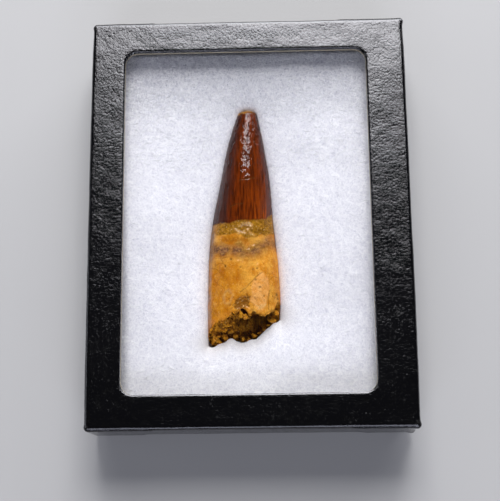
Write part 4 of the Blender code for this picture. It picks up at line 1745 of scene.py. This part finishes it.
        # Dark colour between the lumps is painted shade; the hollow colour also darkens the pulp hollow.
        crevice_shade = 0.55 * ramp(lumps, 0.52, 0.74) * (1 - 0.8 * rim) * (1 - 0.5 * left)
        return {
            "broken": np.ones_like(x),
            "spongy": smooth_step(drift(points, 1.1, 70) * 2.2 + 0.6) * (1 - hollow),
            "ochre": np.maximum.reduce(ochre) * (1 - 0.9 * hollow),
            "hollow": np.maximum(smooth_step(hollow * 1.6), crevice_shade),
            "pale": 0.35 * (tone > 0.9) * ramp(lumps, 0.4, 0.2) * (1 - hollow),
        }

    def make(self) -> bpy.types.Object:
        """Builds the tooth as one closed body.

        Returns:
            The piece.
        """
        side, up = self.side_grid()
        tip = self.tip_grid(side[0])
        self.rim = side[-1]
        self.broken, self.hollow = self.break_grid(self.rim)
        grid = np.concatenate([tip, side, self.broken])
        first, last = len(tip), len(tip) + len(side)
        values = {stain.mask: np.zeros(grid.shape[:2]) for stain in FOSSIL_STAINS}
        values["worn"][:first] = 1.0
        for name, value in self.stains(side, up).items():
            values[name][first:last] = value
        for name, value in self.broken_stains(self.broken, self.hollow).items():
            values[name][last:] = value
        body = Body()
        body.add_closed(grid, **values)
        self.material = self.finish.material()
        return body.make("tooth_fossil", self.material, Slot.FOSSIL, 75, ["tooth"])


# Larger lumps of the broken end: place and half-size in millimetres, and how ochre each is.
BREAK_LUMPS = (
    (-2.6, -24.9, 13.9, 0.95, 0.9), (-1.5, -25.4, 13.5, 0.70, 0.9), (-0.6, -25.6, 13.6, 0.45, 0.5),
    (-8.3, -27.6, 11.9, 1.00, 0.7), (-7.0, -28.3, 11.5, 0.90, 1.0), (-5.9, -27.3, 12.5, 0.80, 0.8),
    (-9.5, -28.6, 10.6, 0.90, 0.6), (-8.6, -29.6, 10.0, 0.85, 1.0), (-5.1, -28.5, 10.6, 0.80, 0.4),
    (-6.7, -29.9, 9.4, 0.95, 0.8), (-9.9, -30.3, 9.0, 0.75, 0.9), (-4.4, -29.6, 9.0, 0.80, 0.9),
    (-2.2, -30.3, 8.4, 0.75, 1.0), (0.6, -29.4, 8.2, 0.70, 0.9), (3.2, -27.6, 8.6, 0.80, 0.8),
    (5.2, -25.6, 9.6, 0.90, 0.7), (6.6, -24.0, 10.4, 0.75, 0.8), (4.6, -23.6, 12.4, 0.70, 0.5),
    (-9.9, -31.1, 8.5, 0.62, 1.0), (-9.0, -31.4, 8.3, 0.50, 0.9), (-8.0, -31.2, 8.2, 0.45, 0.8),
    (2.0, -28.7, 8.5, 0.45, 0.9), (-0.8, -30.3, 8.1, 0.50, 0.9), (4.2, -26.8, 9.0, 0.45, 0.8),
)
CRESCENT = ((-9.7, -28.9, 10.9), (-9.5, -30.0, 10.3), (-8.9, -30.8, 9.9), (-7.8, -31.3, 9.5))


@dataclass
class Crumbs:
    """Grains and lumps that stick to the broken end."""

    tooth: Tooth
    count: int = 330
    seed: int = 7

    def ball(self) -> tuple[Array, list[list[int]]]:
        """Returns the points and faces of a ball to shape a lump from."""
        ball = bmesh.new()
        bmesh.ops.create_icosphere(ball, subdivisions=3, radius=1.0)
        points = np.array([vertex.co for vertex in ball.verts])
        faces = [[vertex.index for vertex in face.verts] for face in ball.faces]
        ball.free()
        return points, faces

    def lump(self, random: np.random.Generator, ball: Array, size: float) -> Array:
        """Returns the points of one rough lump round the origin."""
        squash = random.uniform(0.6, 1.2, 3)
        axis = Vector(random.normal(size=3))
        turned = np.array(Matrix.Rotation(random.uniform(0, 6.28), 3, axis))
        faces = unit(random.normal(size=(9, 3)))
        facing = np.maximum(ball @ faces.T, 1e-3)
        cut = np.minimum(1.0, (random.uniform(0.45, 0.85, 9) / facing).min(axis=1))
        moved = ball + random.uniform(0, 40, 3)
        rough = cut * (1 + 0.22 * drift(moved, 0.8, 81) + 0.14 * drift(moved, 0.35, 82))
        return (ball * rough[:, None] * squash) @ turned.T * size * 1.2

    def crescent(self) -> tuple[Array, list[list[int]]]:
        """Returns the curled splinter at the left of the break."""
        path = np.array(CRESCENT)
        share = np.linspace(0, 1, 30)
        steps = np.linspace(0, 1, len(path))
        line = np.stack([np.interp(share, steps, path[:, axis]) for axis in range(3)], axis=-1)
        for _ in range(4):
            line[1:-1] = (line[:-2] + 2 * line[1:-1] + line[2:]) / 4
        side, above = across_path(line)
        turns = np.linspace(0, 2 * math.pi, 14, endpoint=False)
        radius = (0.50 * np.sin(np.clip(share, 0.03, 0.97) * math.pi) ** 0.5)[:, None, None]
        round_off = np.cos(turns)[None, :, None] * side[:, None] * 1.1
        round_off = round_off + np.sin(turns)[None, :, None] * above[:, None] * 0.8
        points = line[:, None] + radius * round_off
        points = points + 0.10 * drift(points, 0.6, 84)[..., None] * round_off
        rows, columns = points.shape[:2]
        faces = band_faces(rows, columns)
        faces += [list(range(columns)), list(range((rows - 1) * columns, rows * columns))]
        return points, faces

    def make(self) -> bpy.types.Object:
        """Places the larger lumps and scatters the smaller, most of them on the left wall and the rim."""
        random = np.random.default_rng(self.seed)
        grid, body = self.tooth.broken, Body()
        rows, columns = grid.shape[:2]
        ball, faces = self.ball()
        for x, y, z, size, ochre in BREAK_LUMPS:
            shape = self.lump(random, ball, size) + np.array((x, y, z))
            body.add(shape, faces, broken=1.0, ochre=ochre, spongy=0.3, hollow=0.0, orange=0.0)
        points, sides = self.crescent()
        body.add(points, sides, broken=1.0, ochre=1.0, spongy=0.0, hollow=0.0, orange=0.9)
        placed = 0
        while placed < self.count:
            row, side = int(rows * random.random() ** 1.6 * 0.62), int(random.integers(columns))
            place = grid[row, side]
            left, right = float(ramp(place[0], -2.5, -5.5)), float(ramp(place[0], 3, 5))
            wanted = max(0.25, left, 0.7 * right, 0.8 * (row < 5)) * (1 - 0.8 * self.tooth.hollow[row, side])
            if random.random() > wanted:
                continue
            size = (0.15 + 0.50 * random.random() ** 2.4 * (0.5 + 0.5 * left))
            ochre = random.random() * (0.55 + 0.45 * left)
            body.add(
                self.lump(random, ball, size) + place, faces, broken=1.0, ochre=ochre, spongy=0.5,
                hollow=0.8 * float(random.random() < 0.22), orange=0.6 * float(random.random() < 0.12 * left),
            )
            placed += 1
        return body.make("break_crumbs", self.tooth.material, Slot.FOSSIL, 32)


@dataclass
class FibrePad:
    """The pad of fibre that fills the tray and hugs the tooth."""

    tooth: Tooth
    wall_drop: float = 3.4
    shoulder: float = 8.0
    ease: float = 1.1
    top_drop: float = 0.5
    low_drop: float = 1.6
    low_stay: float = 1.7
    press: float = 0.15
    end_hug: float = 0.72
    grip: float = 0.16
    shelf: Place = (12.0, 12.2)
    side_rise: float = 1.5
    end_rise: float = 3.0
    swell: Place = (17.0, 16.0)
    wave: float = 0.25
    clearance: float = 0.14
    under_columns: int = 57
    outer_columns: int = 82
    beside_rows: int = 180
    end_rows: int = 66
    finish: PolyesterFibre = PolyesterFibre(
        "fibre_pad", (0.962, 0.948, 0.985), (0.65, 0.64, 0.72), 0.010 * MM, 0.35)

    def __post_init__(self) -> None:
        """Reads the pad's size, the room under the glass and the outline of the tooth's broken end."""
        low, high = packed_box("batting")
        self.width, self.length = (high - low)[:2]
        self.bottom = low[2]
        self.ceiling = packed_box("glass")[0][2] - self.clearance
        rim = self.tooth.rim
        self.end_x = np.linspace(rim[:, 0].min() + 0.3, rim[:, 0].max() - 0.3, 46)
        near = [rim[np.abs(rim[:, 0] - x) < 0.45, 1] for x in self.end_x]
        ends = np.array([part.min() for part in near])
        padded = np.concatenate([ends[:1], ends, ends[-1:]])
        self.end_y = (padded[:-2] + 2 * padded[1:-1] + padded[2:]) / 4
        self.lowest = float(self.end_y.min())

    def end(self, x: Array) -> Array:
        """Returns the Y of the lowest broken edge across the tooth."""
        return np.interp(x, self.end_x, self.end_y)

    def level(self, x: Array, y: Array) -> Array:
        """Returns the pad's height away from the tooth."""
        shoulder = mix(self.shoulder, 0.65 * self.shoulder, smooth_step(y / self.length + 0.5))
        to_end = self.length / 2 - np.abs(y) + self.low_stay * (y < 0)
        to_wall = np.minimum(self.width / 2 - np.abs(x), to_end)
        sink = self.wall_drop * (1 - smooth_step(to_wall / shoulder))
        top = self.top_drop * smooth_step((y - 12) / 22)
        top = top + self.low_drop * smooth_step((12 - y) / 50)
        place = np.stack([x, y, np.zeros_like(x)], axis=-1)
        slow = self.ease + self.wave * (1 + drift(place, 12, 91))
        tufts = 0.07 * drift(place, 5.5, 92) + 0.015 * drift(place, 1.1, 94)
        return np.minimum(self.ceiling - 0.10 - sink - top - slow + tufts, self.ceiling)

    def height(self, x: Array, y: Array) -> Array:
        """Returns the pad's height, hollowed where the tooth has sunk into it."""
        end = self.end(x)
        centre, half_width, half_thickness, middle = self.tooth.section(np.clip(y, end, self.tooth.tip))
        reach = half_width - self.press
        corner = self.tooth.tip_wear * reach
        off = np.abs(x - centre)
        past_tip = np.maximum(0.0, (y - self.tooth.tip) / self.tooth.tip_round + 1)
        outer_part = np.maximum(0.0, (off - reach + corner) / corner)
        share = np.hypot(outer_part, past_tip)
        aside = np.maximum(0.0, share - 1) * corner
        beyond = np.maximum(0.0, end - self.end_hug * (1 - 0.6 * smooth_step(outer_part / 0.9)) - y)
        inside = np.clip(np.maximum(off / reach, share * (past_tip > 0)), 0, 1)
        round_off = (1 - inside ** self.tooth.root_squareness) ** (1 / self.tooth.root_squareness)
        hollow = np.maximum(middle - half_thickness * round_off, self.bottom + 0.6)
        beside = smooth_step(np.maximum(aside / 0.1, beyond / 0.25))
        lifted = mix(hollow, middle + self.grip * half_thickness, beside)
        low_shelf, high_shelf = self.shelf
        shelf = mix(low_shelf, high_shelf, smooth_step((y - 4) / 24))
        swell = mix(*self.swell, smooth_step((y - 8) / 26))
        away = np.hypot(aside, beyond)
        outer = mix(np.minimum(shelf, self.level(x, y)), self.level(x, y), smooth_step(away / swell))
        return mix(lifted, outer, 1 - np.exp(-np.hypot(aside / self.side_rise, beyond / self.end_rise)))

    def rows(self) -> Array:
        """Returns the places along the pad of its rows, closer together at both ends of the tooth."""
        low, high = self.lowest - self.end_hug, self.tooth.tip
        shares = (np.arange(1, self.end_rows + 1) / self.end_rows) ** 1.8
        below = mix(low, -self.length / 2, shares[::-1])
        above = mix(high, self.length / 2, shares)
        return np.concatenate([below, np.linspace(low, high, self.beside_rows), above])

    def columns(self, along: Array) -> Array:
        """Returns the places across the pad of its columns, for each row."""
        centre, half_width, _, _ = self.tooth.section(np.clip(along, self.tooth.root, self.tooth.tip))
        reach = (half_width - self.press)[:, None]
        turns = np.linspace(-0.5, 0.5, self.under_columns) * math.pi
        under = centre[:, None] + reach * np.sin(turns)[None, :]
        shares = ((np.arange(1, self.outer_columns + 1) / self.outer_columns) ** 1.75)[None, :]
        left = mix(under[:, :1], -self.width / 2, shares[:, ::-1])
        right = mix(under[:, -1:], self.width / 2, shares)
        return np.hstack([left, under, right])

    def leaned(self, x: Array, along: Array) -> Array:
        """Returns the Y of a row's points: rows near the break slant with it."""
        lowest, start = self.lowest, -14.0
        above = smooth_step((start - along) / (start - lowest))
        below = smooth_step((along + self.length / 2) / (lowest + self.length / 2))
        return along + (self.end(x) - lowest) * np.where(along > lowest - self.end_hug, above, below)

    def make(self) -> bpy.types.Object:
        """Builds the pad as one closed body."""
        along = self.rows()
        x = self.columns(along)
        y = self.leaned(x, np.broadcast_to(along[:, None], x.shape))
        top = np.stack([x, y, self.height(x, y)], axis=-1)
        rows, columns = x.shape
        body = Body()
        end = self.end(x)
        centre, half_width, _, _ = self.tooth.section(np.clip(y, end, self.tooth.tip))
        # Mask for a painted shadow of the tooth on the pad round its broken end.
        break_shadow = bell(np.hypot(np.maximum(0.0, np.abs(x - centre) - half_width), y - end) / 3.6)
        # The top part near the lid's edge is marked for painted shade in the gaps between strands.
        body.add(top, [], lid_shadow_zone=smooth_step((y - 22) / 20), break_shadow=break_shadow)
        index = np.arange(rows * columns).reshape(rows, columns)
        edge = np.concatenate([index[0], index[1:, -1], index[-1, -2::-1], index[-2:0:-1, 0]])
        faces = band_faces(rows, columns, wrap_columns=False)
        rim, previous = top.reshape(-1, 3)[edge], edge
        for step in range(1, 7):
            share = step / 6
            ring = rim.copy()
            ring[:, 2] = mix(rim[:, 2], self.bottom, share)
            tuck = 0.35 * math.sin(math.pi * share) * (1 + drift(ring, 3, 95)) / 2
            ring[:, 0] -= np.sign(ring[:, 0]) * tuck
            ring[:, 1] -= np.sign(ring[:, 1]) * tuck
            start = body.add(ring, [], lid_shadow_zone=0.0, break_shadow=0.0)
            current = np.arange(start, start + len(edge))
            following = np.roll(np.arange(len(edge)), -1)
            faces += np.stack([previous, previous[following], current[following], current], axis=-1).tolist()
            previous = current
        faces.append(previous.tolist())
        body.faces = faces
        piece = body.make("fibre_pad", self.finish.material(), Slot.FIBRE, 80, ["batting"])
        return piece


@dataclass
class LooseFibres:
    """Single fibres that lie on the pad, as thin closed strands."""

    pad: FibrePad
    name: str
    count: int
    seed: int
    low: float
    steps: int = 7
    thickness: float = 0.030
    arch: float = 0.06
    longest: float = 3.4
    finish: PolyesterFibre = PolyesterFibre(
        "loose_fibre", (0.97, 0.97, 0.99), (0.90, 0.90, 0.92), 0.01 * MM, 0.0)

    def paths(self, random: np.random.Generator) -> Array:
        """Returns the points that each fibre follows."""
        pad, tooth = self.pad, self.pad.tooth
        count = self.count
        start_x = random.uniform(-1, 1, count) * (pad.width / 2 - 5)
        start_y = mix(self.low, pad.length / 2 - 5, random.random(count))
        length = self.longest * (0.25 + 0.75 * random.random(count))
        heading = random.uniform(0, 2 * math.pi, count)
        bend = random.normal(0, 2.3, count)
        x, y = [start_x], [start_y]
        for step in range(1, self.steps):
            heading = heading + bend / self.steps + random.normal(0, 0.16, count)
            x.append(x[-1] + np.cos(heading) * length / (self.steps - 1))
            y.append(y[-1] + np.sin(heading) * length / (self.steps - 1))
        x, y = np.array(x).T, np.array(y).T
        centre, half_width, _, _ = tooth.section(y)
        beside = (np.abs(x - centre) > half_width + 0.25) | (y > tooth.tip + 0.6) | (y < pad.end(x) - 1)
        inside = (np.abs(x) < pad.width / 2 - 1.2) & (np.abs(y) < pad.length / 2 - 1.2)
        kept = (beside & inside).all(axis=1)
        x, y = x[kept], y[kept]
        arch = np.sin(np.linspace(0, math.pi, self.steps))[None, :]
        lift = arch * self.arch * random.random((len(x), 1)) ** 2
        waves = np.linspace(0, 6, self.steps)[None, :] + 6.28 * random.random((len(x), 1))
        lift = lift + 0.012 * np.sin(waves)
        z = np.minimum(pad.height(x, y) + lift, pad.ceiling + 0.06)
        return np.stack([x, y, z], axis=-1)

    def make(self) -> bpy.types.Object:
        """Builds the fibres as three-sided strands with pointed ends."""
        random = np.random.default_rng(self.seed)
        paths = self.paths(random)
        side, above = across_path(paths)
        taper = np.sin(np.linspace(0.12, math.pi - 0.12, self.steps)) ** 0.35
        radius = self.thickness * (0.6 + 0.9 * random.random((len(paths), 1))) * taper[None, :]
        turns = np.radians((90, 210, 330))
        strands = np.stack([
            paths + radius[..., None] * (math.cos(turn) * side + math.sin(turn) * above) for turn in turns
        ], axis=2)
        count, per_strand = len(paths), self.steps * 3
        one = np.array(band_faces(self.steps, 3))
        offsets = (np.arange(count) * per_strand)[:, None, None]
        faces = (one[None] + offsets).reshape(-1, 4).tolist()
        last = per_strand - 3
        for offset in offsets.ravel().tolist():
            faces.append([offset + 2, offset + 1, offset])
            faces.append([offset + last, offset + last + 1, offset + last + 2])
        body = Body()
        body.add(strands, faces)
        return body.make(self.name, self.finish.material(), Slot.FIBRE, 80)


@dataclass(frozen=True)
class SoftBox:
    """A rectangular studio light that faces one point."""

    name: str
    place: Point
    aim: Point
    width: float
    height: float
    radiance: float
    colour: Colour = (1.0, 1.0, 1.0)

    def make(self) -> bpy.types.Object:
        """Adds the light, with its power worked out from its brightness and size."""
        data = bpy.data.lights.new(self.name, "AREA")
        data.shape = "RECTANGLE"
        data.size, data.size_y = self.width, self.height
        data.energy = self.radiance * math.pi * self.width * self.height
        data.color = self.colour
        light = bpy.data.objects.new(self.name, data)
        bpy.context.scene.collection.objects.link(light)
        light.location = self.place
        toward = Vector(self.aim) - Vector(self.place)
        light.rotation_mode = "QUATERNION"
        light.rotation_quaternion = toward.to_track_quat("-Z", "Y")
        return light


@dataclass
class Studio:
    """Floor, lights and camera."""

    floor_size: float = 3.0
    camera_place: Point = (7.08 * MM, -71.63 * MM, 284.7 * MM)
    camera_aim: Point = (-0.04 * MM, -8.15 * MM, 15.0 * MM)
    camera_roll: float = -0.61
    lens: float = 77.4
    sensor: float = 36.0
    sky: Colour = (0.018, 0.018, 0.020)
    light_distance: float = 1.0
    key_elevation: float = 46.9
    key_azimuth: float = 4.0
    key_size: Place = (0.53, 0.608)
    key_radiance: float = 9.9
    low_elevation: float = 19.0
    low_azimuth: float = 8.0
    low_size: Place = (1.7, 0.389)
    low_radiance: float = 6.3
    fill_elevation: float = 140.0

    def make(self) -> None:
        """Builds the floor, the lights and the camera."""
        self.make_floor()
        self.make_lights()
        self.make_camera()
        bpy.context.scene.view_settings.view_transform = "Standard"

    def make_floor(self) -> None:
        """Adds the floor, level with the back of the box."""
        mesh = bpy.data.meshes.new("floor")
        sheet = bmesh.new()
        bmesh.ops.create_grid(sheet, x_segments=8, y_segments=8, size=self.floor_size / 2)
        sheet.to_mesh(mesh)
        sheet.free()
        mesh.materials.append(PaleFloor().material())
        floor = bpy.data.objects.new("floor", mesh)
        bpy.context.scene.collection.objects.link(floor)

    def make_lights(self) -> None:
        """Adds two large soft lights beyond the tip, one to the left, one in front, and a dim sky."""
        aim = (0.0, 0.0, 12.0 * MM)
        key = self.toward(self.key_elevation, self.key_azimuth)
        low = self.toward(self.low_elevation, self.low_azimuth)
        front = self.toward(self.fill_elevation, 0.0)
        SoftBox("key_light", key, aim, *self.key_size, self.key_radiance, (1.0, 0.99, 0.98)).make()
        SoftBox("low_light", low, aim, *self.low_size, self.low_radiance, (0.97, 0.98, 1.0)).make()
        SoftBox("left_light", (-0.62, 0.0, 0.24), aim, 0.30, 0.20, 1.5, (0.92, 0.95, 1.0)).make()
        SoftBox("front_fill", front, aim, 1.20, 0.52, 2.4, (0.86, 0.88, 1.0)).make()
        world = bpy.data.worlds.new("studio")
        world.use_nodes = True
        world.node_tree.nodes["Background"].inputs["Color"].default_value = (*self.sky, 1.0)
        bpy.context.scene.world = world

    def toward(self, elevation: float, azimuth: float) -> Point:
        """Returns a light's place, from its height above the floor and its turn from +Y in degrees."""
        high, turn = math.radians(elevation), math.radians(azimuth)
        way = Vector((math.sin(turn) * math.cos(high), math.cos(turn) * math.cos(high), math.sin(high)))
        return tuple(way * self.light_distance)

    def make_camera(self) -> None:
        """Adds the camera at the photograph's viewing angle."""
        data = bpy.data.cameras.new("camera")
        data.sensor_fit, data.sensor_width, data.lens = "HORIZONTAL", self.sensor, self.lens
        data.clip_start = 1 * MM
        camera = bpy.data.objects.new("camera", data)
        bpy.context.scene.collection.objects.link(camera)
        place = Vector(self.camera_place)
        forward = (Vector(self.camera_aim) - place).normalized()
        right = forward.cross(Vector((0.0, 1.0, 0.0))).normalized()
        right.rotate(Matrix.Rotation(-math.radians(self.camera_roll), 3, forward))
        up = right.cross(forward)
        turned = Matrix((right, up, -forward)).transposed()
        camera.matrix_world = Matrix.Translation(place) @ turned.to_4x4()
        bpy.context.scene.camera = camera


def main() -> None:
    """Builds every piece in order and reports it."""
    logging.basicConfig(level=logging.INFO, format="%(message)s")
    tooth = Tooth()
    tooth.make()
    Crumbs(tooth).make()
    pad = FibrePad(tooth)
    pad.make()
    LooseFibres(pad, "loose_fibres_low", 3000, 11, -46.0).make()
    LooseFibres(pad, "loose_fibres_middle", 4300, 12, 14.0).make()
    LooseFibres(pad, "loose_fibres_high", 4300, 13, 29.0).make()
    Tray().make()
    Pane().make()
    Lid().make()
    Studio().make()


if __name__ == "__main__":
    main()
